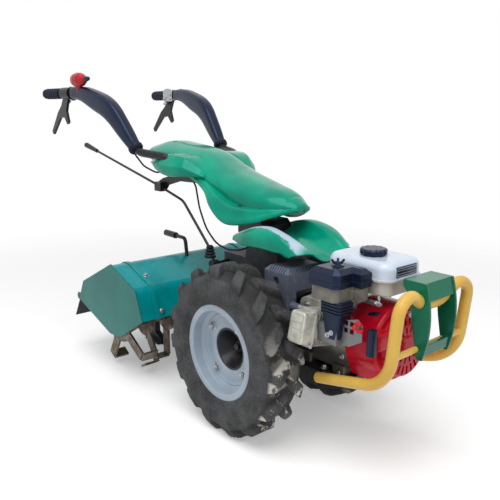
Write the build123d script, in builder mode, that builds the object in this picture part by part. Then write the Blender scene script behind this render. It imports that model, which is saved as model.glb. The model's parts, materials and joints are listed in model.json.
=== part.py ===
"""Two-wheel walking tractor with a petrol engine in front and a rotary tiller behind."""

import os
from math import atan2, cos, radians, sin

from build123d import *

os.makedirs("parts", exist_ok=True)

# Driving dimensions in millimetres: X forward from the axle, Y left, Z up from the floor.
FRONT_REACH = 560
REAR_REACH = 1125
RUNNING_FIT = 0.05
SEAT_GAP = 0.2
SHEET = 4

# Wheels
WHEEL_R = 255
HALF_TRACK = 205
LUGS = 15
LUG_ROOT_R = 214
LUG_TAPER = 5
TREAD_R = 231
BEAD_R = 127
FLANGE_R = 143
RIM_HALF = 55
LIP = 5
SEAT_HALF = 22
DROP_HALF = 14
DROP_R = 112
DISC_OUT = 13
DISC_T = 5
DISC_HOLE_R = 64
BOLT_CIRCLE_R = 90
BOLT_HOLE_R = 6.5
BOLTS = 4
BOLT_START = 53
HUB_FLANGE_R = 103
HUB_FLANGE_T = 10
HUB_DEPTH = 62
HUB_WALL = 8
AXLE_R = 17.5

# Transmission
GEARBOX_HALF = 62
GEARBOX_TOP = 564
GEARBOX_NECK = 30
GEARBOX_REAR = 110
GEARBOX_FRONT = 105
SUMP_R = 88
TRUMPET_R = 34
TRUMPET_END = 140
AXLE_INNER = 70
SELECTOR_REAR = 245
SELECTOR_HALF = 40
SELECTOR_LOW = 420
SELECTOR_HIGH = 482

# Engine
ENGINE_REAR = 160
CRANK_Z = 356
BASE_Z = 250
BASE_T = 15
BASE_HALF = 95
CASE_FRONT = 345
CASE_RIGHT = 85
CASE_LEFT = 95
CASE_TOP = 434
FOOT_T = 14
CYLINDER_X = 274
CYLINDER_TILT = 12
CYLINDER_START = 100
FIN_COUNT = 9
FIN_T = 3.5
FIN_PITCH = 9.5
FIN_X = 64
FIN_H = 98
FIN_CORNER = 16
CORE = 56
ROCKER_X = 58
ROCKER_H = 90
ROCKER_T = 40
SHROUD_R = 105
SHROUD_FRONT = 440
SHROUD_FOOT_Z = 262
SHROUD_FOOT_HALF = 76
RECOIL_R = 86
BELL_R = 78
BELL_NECK_R = 56
BELL_RIM = 12
RECOIL_FRONT = 466
RECOIL_SLOT_DEPTH = 12
RECOIL_BOSS_R = 26
RECOIL_BOSS_H = 6
ROPE_BOSS_WIDE = 70
ROPE_BOSS_TALL = 44
ROPE_BOSS_RISE = 30
RECOIL_RINGS = (
    # circle radius, slots, slot length, slot width
    (41, 14, 18, 6),
    (68, 24, 24, 7),
)
TANK_REAR = 236
TANK_FRONT = 452
TANK_HALF = 80
TANK_LOW = 490
TANK_LOWER_H = 40
TANK_UPPER_H = 44
TANK_CORNER = 38
TANK_CROWN_R = 20
SEAM_RIM = 4
LOWER_INSET = 9
CAP_X = 350
CAP_Y = -10
CAP_R = 36
CAP_H = 18
CAP_NOTCHES = 10
CAP_NOTCH_R = 6
CAP_NECK = 4
TANK_SEAM = TANK_LOW + TANK_LOWER_H
TANK_TOP = TANK_SEAM + TANK_UPPER_H

# Front bumper
TUBE_R = 15
BUMPER_HALF = 146
BUMPER_REAR_X = 270
BUMPER_REAR_Y = 122
BUMPER_REAR_Z = 234
BUMPER_KNEE_X = FRONT_REACH - 44
BUMPER_KNEE_Z = 300
BUMPER_TOP_X = FRONT_REACH - 20
BUMPER_TOP_Z = 552
HOOP_X = FRONT_REACH - 36
HOOP_Z = 485
HOOP_FLAT = 34
BUMPER_BENDS = (110, 42, 50)
FRAME_HALF = 58
FRAME_PLATE = 6
FRAME_LOW = 353
FRAME_TOP = 545
FRAME_BULGE = 16
HEAD_TALL = 42
FOOT_LOW = 362
FOOT_TALL = 30
STAY_R = 8
STAY_X = FRONT_REACH - 34
STAY_Z = 378

# Handlebars
HANDLE_TUBE_R = 14
COVER_END = 915
GRIP_START = 1010
GRIP_R = 19
GRIP_Y = 252
GRIP_Z = 1004
BEND_X = -850
BEND_Y = 225
COLUMN_HALF = 30
COLUMN_BLOCK_HALF = 58

# Tiller
TILLER_HALF = 300
ROTOR_X = -575
ROTOR_Z = 180
TINE_R = 170
ROTOR_SHAFT_R = 20
GEARCASE_HALF = 34
FLAP_X = -828
FLAP_Z = 240
FLAP_ROLL_R = 6
FLAP_EYE_R = 14
FLAP_LENGTH = 112
FLAP_LEAN = 32
FLAP_T = 3

HANDS = (("right", -1), ("left", 1))

# The frame's origin lies on the floor, midway between the grips' ends and the front frame.
GRIP_SPLAY = atan2(GRIP_Y - BEND_Y, REAR_REACH + BEND_X)
GRIP_OVERHANG = GRIP_R * sin(GRIP_SPLAY)
AXLE_X = (REAR_REACH + GRIP_OVERHANG - FRONT_REACH) / 2


def side(y):
    """Upright plane along the machine: local X forward from the axle, local Y up."""
    return Plane(origin=(AXLE_X, y, 0), x_dir=(1, 0, 0), z_dir=(0, -1, 0))


def front(x):
    """Upright plane across the machine: local X to the left, local Y up."""
    return Plane(origin=(AXLE_X + x, 0, 0), x_dir=(0, 1, 0), z_dir=(1, 0, 0))


def level(z):
    """Flat plane: local X forward from the axle, local Y to the left."""
    return Plane(origin=(AXLE_X, 0, z))


def point(x, y, z):
    """A place given from the axle, in the model's frame."""
    return (AXLE_X + x, y, z)


def save(piece, name):
    """Label a finished piece and write its file."""
    piece.part.label = name
    export_step(piece.part, f"parts/{name}.step")


WHEEL_AXIS = Axis((AXLE_X, 0, WHEEL_R), (0, 1, 0))
CRANK_AXIS = Axis((AXLE_X, 0, CRANK_Z), (1, 0, 0))


# Tyres: a bias-ply carcass with two rows of slanting bar lugs
TYRE_OUTLINE = (
    # offset from the tyre's middle, radius
    (-50, BEAD_R),
    (-50, FLANGE_R + 3),
    (-70, 186),
    (-62, 217),
    (-38, TREAD_R),
    (38, TREAD_R),
    (62, 217),
    (70, 186),
    (50, FLANGE_R + 3),
    (50, BEAD_R),
)
LUG_ENVELOPE = ((-70, 190), (-70, 236), (-46, WHEEL_R), (46, WHEEL_R), (70, 236), (70, 190))
LUG_OUTLINE = (
    # along the tread, out from the tyre's middle
    (44, 2),
    (16, 2),
    (-48, 70),
    (-12, 70),
)

for name, hand in HANDS:
    middle = hand * HALF_TRACK
    with BuildPart() as tyre:
        for row in (-1, 1):
            for index in range(LUGS):
                turn = radians(360 / LUGS * (index + row / 4))
                facing = Plane(
                    origin=(AXLE_X, middle, WHEEL_R),
                    x_dir=(cos(turn), 0, -sin(turn)),
                    z_dir=(sin(turn), 0, cos(turn)),
                )
                with BuildSketch(facing.offset(LUG_ROOT_R)):
                    with BuildLine():
                        Polyline([(x, row * y) for x, y in LUG_OUTLINE], close=True)
                    make_face()
                extrude(amount=WHEEL_R - LUG_ROOT_R + 12, taper=LUG_TAPER)
        with BuildSketch(front(0)):
            with BuildLine():
                Polyline([(middle + y, WHEEL_R + r) for y, r in LUG_ENVELOPE], close=True)
            make_face()
        revolve(axis=WHEEL_AXIS, mode=Mode.INTERSECT)
        with BuildSketch(front(0)):
            with BuildLine():
                Polyline([(middle + y, WHEEL_R + r) for y, r in TYRE_OUTLINE], close=True)
            make_face()
        revolve(axis=WHEEL_AXIS)
    save(tyre, f"tyre_{name}")

    # Rim: rolled channel with a drop centre and a dished disc
    channel = (
        (RIM_HALF, FLANGE_R),
        (RIM_HALF - LIP, FLANGE_R),
        (RIM_HALF - LIP, BEAD_R),
        (SEAT_HALF, BEAD_R),
        (DROP_HALF, DROP_R),
        (-DROP_HALF, DROP_R),
        (-SEAT_HALF, BEAD_R),
        (-RIM_HALF + LIP, BEAD_R),
        (-RIM_HALF + LIP, FLANGE_R),
        (-RIM_HALF, FLANGE_R),
        (-RIM_HALF, BEAD_R - SHEET),
        (-SEAT_HALF - 2, BEAD_R - SHEET),
        (-DROP_HALF - 2, DROP_R - SHEET),
        (DROP_HALF + 2, DROP_R - SHEET),
        (SEAT_HALF + 2, BEAD_R - SHEET),
        (RIM_HALF, BEAD_R - SHEET),
    )
    disc = (
        (DISC_OUT - DISC_T, DISC_HOLE_R),
        (DISC_OUT, DISC_HOLE_R),
        (DISC_OUT, DROP_R - SHEET + 1),
        (DISC_OUT - DISC_T, DROP_R - SHEET + 1),
    )
    with BuildPart() as rim:
        for outline in (channel, disc):
            with BuildSketch(front(0)):
                with BuildLine():
                    Polyline([(middle + hand * y, WHEEL_R + r) for y, r in outline], close=True)
                make_face()
            revolve(axis=WHEEL_AXIS)
        with BuildSketch(side(middle)):
            with Locations((0, WHEEL_R)):
                with PolarLocations(BOLT_CIRCLE_R, BOLTS, start_angle=BOLT_START):
                    Circle(BOLT_HOLE_R)
        extrude(amount=RIM_HALF, both=True, mode=Mode.SUBTRACT)
    save(rim, f"rim_{name}")

    # Hub: a cupped flange behind the disc on the axle shaft
    flange_out = DISC_OUT - DISC_T
    flange_in = flange_out - HUB_FLANGE_T
    cup_in = flange_out - HUB_DEPTH
    hub_outline = (
        (flange_out, HUB_FLANGE_R),
        (flange_out, DISC_HOLE_R - 6),
        (cup_in + HUB_WALL, AXLE_R + HUB_WALL),
        (cup_in + HUB_WALL, 0),
        (AXLE_INNER - HALF_TRACK, 0),
        (AXLE_INNER - HALF_TRACK, AXLE_R),
        (cup_in, AXLE_R),
        (cup_in, AXLE_R + 2 * HUB_WALL),
        (flange_in, DISC_HOLE_R + 4),
        (flange_in, HUB_FLANGE_R),
    )
    with BuildPart() as hub:
        with BuildSketch(front(0)):
            with BuildLine():
                Polyline([(middle + hand * y, WHEEL_R + r) for y, r in hub_outline], close=True)
            make_face()
        revolve(axis=WHEEL_AXIS)
        with BuildSketch(side(middle)):
            with Locations((0, WHEEL_R)):
                with PolarLocations(BOLT_CIRCLE_R, BOLTS, start_angle=BOLT_START):
                    Circle(BOLT_HOLE_R)
        extrude(amount=RIM_HALF, both=True, mode=Mode.SUBTRACT)
    save(hub, f"hub_{name}")


# Gearbox: cast case round the axle with side trumpets and a selector cover at the rear
GEARBOX_SIDE = (
    # forward of the axle, height
    (-SUMP_R, WHEEL_R),
    (SUMP_R, WHEEL_R),
    (GEARBOX_FRONT, 300),
    (GEARBOX_FRONT, 405),
    (46, 412),
    (GEARBOX_NECK, GEARBOX_TOP),
    (-90, GEARBOX_TOP),
    (-GEARBOX_REAR, 500),
    (-GEARBOX_REAR, 300),
)
with BuildPart() as gearbox:
    with BuildSketch(side(0)):
        with BuildLine():
            Polyline(GEARBOX_SIDE, close=True)
        make_face()
        with Locations((0, WHEEL_R)):
            Circle(SUMP_R)
    extrude(amount=GEARBOX_HALF, both=True)
    with BuildSketch(side(0)):
        with Locations((0, WHEEL_R)):
            Circle(TRUMPET_R)
    extrude(amount=TRUMPET_END, both=True)
    with BuildSketch(side(0)):
        with Locations((-(SELECTOR_REAR + GEARBOX_REAR) / 2, (SELECTOR_LOW + SELECTOR_HIGH) / 2)):
            Rectangle(SELECTOR_REAR - GEARBOX_REAR + 2, SELECTOR_HIGH - SELECTOR_LOW)
    extrude(amount=SELECTOR_HALF, both=True)
    with BuildSketch(side(0)):
        with Locations((0, WHEEL_R)):
            Circle(AXLE_R + RUNNING_FIT)
    extrude(amount=TRUMPET_END, both=True, mode=Mode.SUBTRACT)
save(gearbox, "gearbox")

# Clutch housing: bell between the gearbox and the engine
with BuildPart() as clutch_housing:
    with BuildSketch(side(0)):
        with BuildLine():
            Polyline(
                (GEARBOX_FRONT, CRANK_Z),
                (GEARBOX_FRONT, CRANK_Z + BELL_NECK_R),
                (ENGINE_REAR - BELL_RIM, CRANK_Z + BELL_R),
                (ENGINE_REAR, CRANK_Z + BELL_R),
                (ENGINE_REAR, CRANK_Z),
                close=True,
            )
        make_face()
    revolve(axis=CRANK_AXIS)
save(clutch_housing, "clutch_housing")

# Engine: crankcase with feet, inclined finned cylinder and rocker cover
CYLINDER = Plane(
    origin=point(CYLINDER_X, 0, CRANK_Z),
    x_dir=(1, 0, 0),
    z_dir=(0, -cos(radians(CYLINDER_TILT)), sin(radians(CYLINDER_TILT))),
)
CYLINDER_ROOT = 30
CYLINDER_FLANGE = CORE + 16
CASE_CORNER = 22
FOOT_GRID = (120, 150)
FOOT_PLAN = (44, 36)
STAY_GRID = (80, 90)
STAY_MIDDLE = 295
TANK_STAY_R = 9
ROOT_DEPTH = 12
with BuildPart() as engine_crankcase:
    with BuildSketch(side(-CASE_RIGHT)):
        with Locations(((ENGINE_REAR + CASE_FRONT) / 2, (BASE_Z + FOOT_T + CASE_TOP) / 2)):
            RectangleRounded(CASE_FRONT - ENGINE_REAR, CASE_TOP - BASE_Z - FOOT_T, CASE_CORNER)
    extrude(amount=-(CASE_RIGHT + CASE_LEFT))
    with BuildSketch(level(BASE_Z)):
        with Locations(((ENGINE_REAR + CASE_FRONT) / 2, 0)):
            with GridLocations(*FOOT_GRID, 2, 2):
                RectangleRounded(*FOOT_PLAN, 8)
    extrude(amount=FOOT_T + ROOT_DEPTH)
    with BuildSketch(CYLINDER.offset(CASE_RIGHT - CYLINDER_ROOT)):
        Rectangle(CYLINDER_FLANGE, CYLINDER_FLANGE)
    extrude(amount=CYLINDER_START - CASE_RIGHT + CYLINDER_ROOT)
    with BuildSketch(level(CASE_TOP - ROOT_DEPTH)):
        with Locations((STAY_MIDDLE, 0)):
            with GridLocations(*STAY_GRID, 2, 2):
                Circle(TANK_STAY_R)
    extrude(amount=TANK_LOW - CASE_TOP + ROOT_DEPTH)
save(engine_crankcase, "engine_crankcase")

FIN_DEPTH = FIN_PITCH * (FIN_COUNT - 1) + FIN_T
PORT_START = 6
PORT_DEPTH = 24
PORT_RISE = 18
PORT = 40
with BuildPart() as cylinder_head:
    with BuildSketch(CYLINDER.offset(CYLINDER_START)):
        RectangleRounded(CORE, CORE, 8)
    extrude(amount=FIN_DEPTH)
    for index in range(FIN_COUNT):
        with BuildSketch(CYLINDER.offset(CYLINDER_START + FIN_PITCH * index)):
            RectangleRounded(FIN_X, FIN_H, FIN_CORNER)
        extrude(amount=FIN_T)
    with BuildSketch(CYLINDER.offset(CYLINDER_START + PORT_START)):
        with Locations((-CORE / 2 - 12, PORT_RISE)):
            Rectangle(PORT, PORT)
    extrude(amount=PORT_DEPTH)
save(cylinder_head, "cylinder_head")

ROCKER_SEAT = CYLINDER_START + FIN_DEPTH
ROCKER_FLANGE = 5
ROCKER_FLANGE_T = 6
with BuildPart() as rocker_cover:
    with BuildSketch(CYLINDER.offset(ROCKER_SEAT)):
        RectangleRounded(ROCKER_X + 2 * ROCKER_FLANGE, ROCKER_H + 2 * ROCKER_FLANGE, 16)
    extrude(amount=ROCKER_FLANGE_T)
    with BuildSketch(CYLINDER.offset(ROCKER_SEAT + ROCKER_FLANGE_T)):
        RectangleRounded(ROCKER_X, ROCKER_H, 14)
    extrude(amount=ROCKER_T - ROCKER_FLANGE_T, taper=6)
    fillet(rocker_cover.faces().sort_by(Axis(CYLINDER.origin, CYLINDER.z_dir))[-1].edges(), 6)
save(rocker_cover, "rocker_cover")

# Fan shroud with its tail down to the base, recoil cover and starter grip
with BuildPart() as fan_shroud:
    with BuildSketch(front(CASE_FRONT)):
        with Locations((0, CRANK_Z)):
            Circle(SHROUD_R)
        with BuildLine():
            Polyline(
                (-SHROUD_R, CRANK_Z),
                (SHROUD_R, CRANK_Z),
                (SHROUD_FOOT_HALF, SHROUD_FOOT_Z),
                (-SHROUD_FOOT_HALF, SHROUD_FOOT_Z),
                close=True,
            )
        make_face()
    extrude(amount=SHROUD_FRONT - CASE_FRONT)
    fillet(fan_shroud.faces().sort_by(Axis.X)[-1].edges(), 10)
save(fan_shroud, "fan_shroud")

with BuildPart() as recoil_cover:
    with BuildSketch(front(SHROUD_FRONT)):
        with Locations((0, CRANK_Z)):
            Circle(RECOIL_R)
        with Locations((-RECOIL_R, CRANK_Z + ROPE_BOSS_RISE)):
            Rectangle(ROPE_BOSS_WIDE, ROPE_BOSS_TALL)
    extrude(amount=RECOIL_FRONT - SHROUD_FRONT)
    fillet(recoil_cover.faces().sort_by(Axis.X)[-1].edges(), 8)
    with BuildSketch(front(RECOIL_FRONT)):
        with Locations((0, CRANK_Z)):
            for ring_r, slots, slot_long, slot_wide in RECOIL_RINGS:
                with PolarLocations(ring_r, slots):
                    SlotOverall(slot_long, slot_wide)
    extrude(amount=-RECOIL_SLOT_DEPTH, mode=Mode.SUBTRACT)
    with BuildSketch(front(RECOIL_FRONT)):
        with Locations((0, CRANK_Z)):
            Circle(RECOIL_BOSS_R)
    extrude(amount=RECOIL_BOSS_H, taper=20)
save(recoil_cover, "recoil_cover")

PULL_LONG = 22
PULL_WIDE = 24
PULL_TALL = 66
PULL_Y = -RECOIL_R - ROPE_BOSS_WIDE / 2 - PULL_WIDE / 2
with BuildPart() as starter_grip:
    with BuildSketch(level(CRANK_Z + 2)):
        with Locations(((SHROUD_FRONT + RECOIL_FRONT) / 2, PULL_Y)):
            RectangleRounded(PULL_LONG, PULL_WIDE, 9)
    extrude(amount=PULL_TALL)
save(starter_grip, "starter_grip")

# Fuel tank pressed from two halves, with its cap
TANK_X = (TANK_REAR + TANK_FRONT) / 2
TANK_LONG = TANK_FRONT - TANK_REAR
with BuildPart() as fuel_tank:
    with BuildSketch(level(TANK_SEAM)):
        with Locations((TANK_X, 0)):
            RectangleRounded(TANK_LONG - 2 * SEAM_RIM, 2 * (TANK_HALF - SEAM_RIM), TANK_CORNER - SEAM_RIM)
    extrude(amount=TANK_TOP - TANK_SEAM)
    fillet(fuel_tank.faces().sort_by(Axis.Z)[-1].edges(), TANK_CROWN_R)
    with BuildSketch(level(TANK_SEAM - SEAM_RIM)):
        with Locations((TANK_X, 0)):
            RectangleRounded(TANK_LONG, 2 * TANK_HALF, TANK_CORNER)
    extrude(amount=SEAM_RIM + 2)
    with BuildSketch(level(TANK_LOW)):
        with Locations((TANK_X, 0)):
            RectangleRounded(
                TANK_LONG - 2 * LOWER_INSET,
                2 * (TANK_HALF - LOWER_INSET),
                TANK_CORNER - LOWER_INSET,
            )
    extrude(amount=TANK_SEAM - TANK_LOW - SEAM_RIM)
save(fuel_tank, "fuel_tank")

with BuildPart() as tank_cap:
    with BuildSketch(level(TANK_TOP)):
        with Locations((CAP_X, CAP_Y)):
            Circle(CAP_R - CAP_NECK)
    extrude(amount=CAP_H)
    with BuildSketch(level(TANK_TOP + CAP_NECK)):
        with Locations((CAP_X, CAP_Y)):
            Circle(CAP_R)
            with PolarLocations(CAP_R + CAP_NOTCH_R / 2, CAP_NOTCHES):
                Circle(CAP_NOTCH_R, mode=Mode.SUBTRACT)
    extrude(amount=CAP_H - CAP_NECK)
    chamfer(tank_cap.faces().sort_by(Axis.Z)[-1].edges(), CAP_NECK)
save(tank_cap, "tank_cap")

# Muffler in its guard: bevelled top with a row of slots along each bevel, outlet on the right
MUFFLER_REAR = 56
MUFFLER_FRONT = 154
MUFFLER_RIGHT = -128
MUFFLER_LEFT = 16
MUFFLER_LOW = 444
MUFFLER_TOP = 510
MUFFLER_LOBE_LOW = 390
MUFFLER_LOBE_LEFT = -90
MUFFLER_X = (MUFFLER_REAR + MUFFLER_FRONT) / 2
MUFFLER_LONG = MUFFLER_FRONT - MUFFLER_REAR
MUFFLER_Y = (MUFFLER_RIGHT + MUFFLER_LEFT) / 2
MUFFLER_WIDE = MUFFLER_LEFT - MUFFLER_RIGHT
GUARD_BEVEL = 13
GUARD_PITCH = 9.5
GUARD_SLOT = 4.5
GUARD_SLOT_LONG = 14
GUARD_SLOT_DEEP = 15
OUTLET_R = 12
VENT_LONG = 12
EXHAUST_Y = -110
EXHAUST_Z = 405
EXHAUST_R = 12
PIPE_ROOT = 4
LOBE_ROOT = 10
with BuildPart() as muffler:
    with BuildSketch(level(MUFFLER_LOW)):
        with Locations((MUFFLER_X, MUFFLER_Y)):
            Rectangle(MUFFLER_LONG, MUFFLER_WIDE)
    extrude(amount=MUFFLER_TOP - MUFFLER_LOW)
    chamfer(muffler.faces().sort_by(Axis.Z)[-1].edges(), GUARD_BEVEL)
    with BuildSketch(level(MUFFLER_LOBE_LOW)):
        with Locations((MUFFLER_X, (MUFFLER_RIGHT + MUFFLER_LOBE_LEFT) / 2)):
            RectangleRounded(MUFFLER_LONG, MUFFLER_LOBE_LEFT - MUFFLER_RIGHT, 8)
    extrude(amount=MUFFLER_LOW - MUFFLER_LOBE_LOW + LOBE_ROOT)
    bevel_run = GUARD_SLOT_LONG / 2 - 1
    front_slots = int((MUFFLER_WIDE - 2 * GUARD_BEVEL) / GUARD_PITCH)
    side_slots = int((MUFFLER_LONG - 2 * GUARD_BEVEL) / GUARD_PITCH)
    with BuildSketch(level(MUFFLER_TOP)):
        with Locations((MUFFLER_FRONT - bevel_run, MUFFLER_Y)):
            with GridLocations(1, GUARD_PITCH, 1, front_slots):
                Rectangle(GUARD_SLOT_LONG, GUARD_SLOT)
        with Locations((MUFFLER_X, MUFFLER_RIGHT + bevel_run), (MUFFLER_X, MUFFLER_LEFT - bevel_run)):
            with GridLocations(GUARD_PITCH, 1, side_slots, 1):
                Rectangle(GUARD_SLOT, GUARD_SLOT_LONG)
    extrude(amount=-GUARD_SLOT_DEEP, mode=Mode.SUBTRACT)
    with BuildSketch(side(MUFFLER_RIGHT)):
        with Locations((MUFFLER_X, (MUFFLER_LOW + MUFFLER_TOP) / 2 - 6)):
            Circle(OUTLET_R)
        with Locations((MUFFLER_X, MUFFLER_LOBE_LOW + VENT_LONG)):
            with GridLocations(GUARD_PITCH, 1, side_slots, 1):
                SlotOverall(VENT_LONG, GUARD_SLOT, rotation=90)
    extrude(amount=-GUARD_SLOT_DEEP, mode=Mode.SUBTRACT)
    with BuildSketch(front(MUFFLER_FRONT - PIPE_ROOT)):
        with Locations((EXHAUST_Y, EXHAUST_Z)):
            Circle(EXHAUST_R)
    extrude(amount=CYLINDER_X - CORE / 2 - MUFFLER_FRONT + PIPE_ROOT)
    add(cylinder_head.part, mode=Mode.SUBTRACT)
with BuildPart() as muffler_seated:
    add(muffler.part.solids().sort_by(SortBy.VOLUME)[-1])
save(muffler_seated, "muffler")

# Air cleaner: smoked bowl under a bevelled cover with a snout at the front, on a bellows and elbow
CLEANER_REAR = 286
CLEANER_FRONT = 378
CLEANER_RIGHT = -182
CLEANER_LEFT = -84
SNOUT_FRONT = 406
SNOUT_RIGHT = -124
CLEANER_LOW = 478
CLEANER_MID = 514
CLEANER_TOP = 561
CLEANER_CORNER = 14
COVER_BEVEL = 12
BOWL_INSET = 5
COVER_BAND_RISE = 10
COVER_BAND = 5
COVER_BAND_OUT = 2
CLEANER_PLAN = (
    (CLEANER_REAR, CLEANER_RIGHT),
    (CLEANER_FRONT - CLEANER_CORNER, CLEANER_RIGHT),
    (CLEANER_FRONT, CLEANER_RIGHT + CLEANER_CORNER),
    (CLEANER_FRONT, SNOUT_RIGHT),
    (SNOUT_FRONT, SNOUT_RIGHT),
    (SNOUT_FRONT, CLEANER_LEFT),
    (CLEANER_REAR, CLEANER_LEFT),
)
with BuildPart() as air_cleaner_base:
    with BuildSketch(level(CLEANER_LOW)):
        with BuildLine():
            Polyline(CLEANER_PLAN, close=True)
        make_face()
        offset(amount=-BOWL_INSET)
    extrude(amount=CLEANER_MID - CLEANER_LOW)
save(air_cleaner_base, "air_cleaner_base")

with BuildPart() as air_cleaner_cover:
    with BuildSketch(level(CLEANER_MID)):
        with BuildLine():
            Polyline(CLEANER_PLAN, close=True)
        make_face()
    extrude(amount=CLEANER_TOP - CLEANER_MID)
    chamfer(air_cleaner_cover.faces().sort_by(Axis.Z)[-1].edges(), COVER_BEVEL)
    with BuildSketch(level(CLEANER_MID + COVER_BAND_RISE)):
        with BuildLine():
            Polyline(CLEANER_PLAN, close=True)
        make_face()
        offset(amount=COVER_BAND_OUT, kind=Kind.INTERSECTION)
    extrude(amount=COVER_BAND)
save(air_cleaner_cover, "air_cleaner_cover")

# Intake elbow: bellows rings under the bowl and a tapered duct down to the carburettor
ELBOW_X = 350
ELBOW_Y = -146
ELBOW_LOW = 380
ELBOW_LONG = 40
ELBOW_WIDE = 44
ELBOW_CORNER = 8
BELLOWS = 4
BELLOWS_LOW = 446
RING_LONG = 70
RING_WIDE = 58
RING_GAP = 4
RING_PITCH = (CLEANER_LOW - BELLOWS_LOW) / BELLOWS
with BuildPart() as intake_elbow:
    with BuildSketch(level(ELBOW_LOW)):
        with Locations((ELBOW_X, ELBOW_Y)):
            RectangleRounded(ELBOW_LONG, ELBOW_WIDE, ELBOW_CORNER)
    with BuildSketch(level(BELLOWS_LOW)):
        with Locations((ELBOW_X, ELBOW_Y)):
            RectangleRounded(RING_LONG - 2 * RING_GAP, RING_WIDE - 2 * RING_GAP, ELBOW_CORNER)
    loft()
    with BuildSketch(level(BELLOWS_LOW)):
        with Locations((ELBOW_X, ELBOW_Y)):
            RectangleRounded(RING_LONG - 2 * RING_GAP, RING_WIDE - 2 * RING_GAP, ELBOW_CORNER)
    extrude(amount=CLEANER_LOW - BELLOWS_LOW)
    for index in range(BELLOWS):
        with BuildSketch(level(BELLOWS_LOW + RING_PITCH * index)):
            with Locations((ELBOW_X, ELBOW_Y)):
                RectangleRounded(RING_LONG, RING_WIDE, ELBOW_CORNER + RING_GAP)
        extrude(amount=RING_PITCH - RING_GAP)
save(intake_elbow, "intake_elbow")

# Carburettor: body between the head and the elbow, with the control plate in front
CARB_REAR = CYLINDER_X + FIN_X / 2
CARB_LOW = 366
CARB_TALL = 50
CARB_LEFT = -116
CARB_RIGHT = ELBOW_Y - ELBOW_WIDE / 2
CARB_FRONT = ELBOW_X + ELBOW_LONG / 2
PLATE_T = 3
PLATE_Y = -150
PLATE_FRONT = 436
PLATE_LOW = 392
PLATE_TOP = 446
WINDOW = 13
WINDOW_PITCH = 19
WINDOW_BACK = 42
with BuildPart() as carburettor:
    with BuildSketch(level(CARB_LOW)):
        with Locations(((CARB_REAR + CARB_FRONT) / 2, (CARB_RIGHT + CARB_LEFT) / 2)):
            Rectangle(CARB_FRONT - CARB_REAR, CARB_LEFT - CARB_RIGHT)
    extrude(amount=CARB_TALL)
    with BuildSketch(side(PLATE_Y)):
        with BuildLine():
            Polyline(
                (ELBOW_X - 10, CARB_LOW + 2),
                (PLATE_FRONT - 40, CARB_LOW + 2),
                (PLATE_FRONT, PLATE_LOW),
                (PLATE_FRONT, PLATE_TOP - 14),
                (PLATE_FRONT - 16, PLATE_TOP),
                (CARB_FRONT + 10, PLATE_TOP - 12),
                (CARB_FRONT, ELBOW_LOW - 2),
                (ELBOW_X - 10, ELBOW_LOW - 2),
                close=True,
            )
        make_face()
        with Locations((PLATE_FRONT - WINDOW_BACK, (PLATE_LOW + PLATE_TOP) / 2)):
            with GridLocations(WINDOW_PITCH, WINDOW_PITCH, 2, 2):
                Rectangle(WINDOW, WINDOW, mode=Mode.SUBTRACT)
    extrude(amount=-PLATE_T)
    add(intake_elbow.part, mode=Mode.SUBTRACT)
with BuildPart() as carburettor_seated:
    add(carburettor.part.solids().sort_by(SortBy.VOLUME)[-1])
save(carburettor_seated, "carburettor")

# Engine base plate with side clamps for the bumper tubes
CLAMP_X = BUMPER_REAR_X + 35
CLAMP_LONG = 50
BASE_FRONT = CASE_FRONT + 10
with BuildPart() as engine_base:
    with BuildSketch(level(BASE_Z - BASE_T)):
        with Locations(((ENGINE_REAR + BASE_FRONT) / 2, 0)):
            RectangleRounded(BASE_FRONT - ENGINE_REAR, 2 * BASE_HALF, 10)
        with Locations((CLAMP_X, 0)):
            Rectangle(CLAMP_LONG, 2 * BUMPER_REAR_Y)
    extrude(amount=BASE_T)
    with BuildSketch(front(ENGINE_REAR)):
        with Locations((0, (BASE_Z - BASE_T + CRANK_Z - BELL_R) / 2)):
            Rectangle(2 * GEARBOX_HALF, CRANK_Z - BELL_R - BASE_Z + BASE_T)
    extrude(amount=-(ENGINE_REAR - GEARBOX_FRONT))

# Front bumper: one hoop of tube in two halves that dips to its middle, and a lower stay
bumper_tubes = {}
for name, hand in HANDS:
    with BuildPart() as bumper_tube:
        with BuildLine() as path:
            FilletPolyline(
                point(BUMPER_REAR_X, hand * BUMPER_REAR_Y, BUMPER_REAR_Z),
                point(BUMPER_KNEE_X, hand * BUMPER_HALF, BUMPER_KNEE_Z),
                point(BUMPER_TOP_X, hand * BUMPER_HALF, BUMPER_TOP_Z),
                point(HOOP_X, hand * HOOP_FLAT, HOOP_Z),
                point(HOOP_X, 0, HOOP_Z),
                radius=BUMPER_BENDS,
            )
        with BuildSketch(Plane(origin=path.line @ 0, z_dir=path.line % 0)):
            Circle(TUBE_R)
        sweep(path=path.line)
    bumper_tubes[name] = bumper_tube.part
    save(bumper_tube, f"bumper_tube_{name}")

with BuildPart() as engine_base_cut:
    add(engine_base.part)
    for tube in bumper_tubes.values():
        add(tube, mode=Mode.SUBTRACT)
with BuildPart() as engine_base_seated:
    add(engine_base_cut.part.solids().sort_by(SortBy.VOLUME)[-1])
save(engine_base_seated, "engine_base")

with BuildPart() as bumper_crossbar:
    with BuildSketch(side(-BUMPER_HALF)):
        with Locations((STAY_X, STAY_Z)):
            Circle(STAY_R)
    extrude(amount=-2 * BUMPER_HALF)
    for tube in bumper_tubes.values():
        add(tube, mode=Mode.SUBTRACT)
with BuildPart() as crossbar_seated:
    add(bumper_crossbar.part.solids().sort_by(SortBy.VOLUME)[-1])
save(crossbar_seated, "bumper_crossbar")

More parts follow.
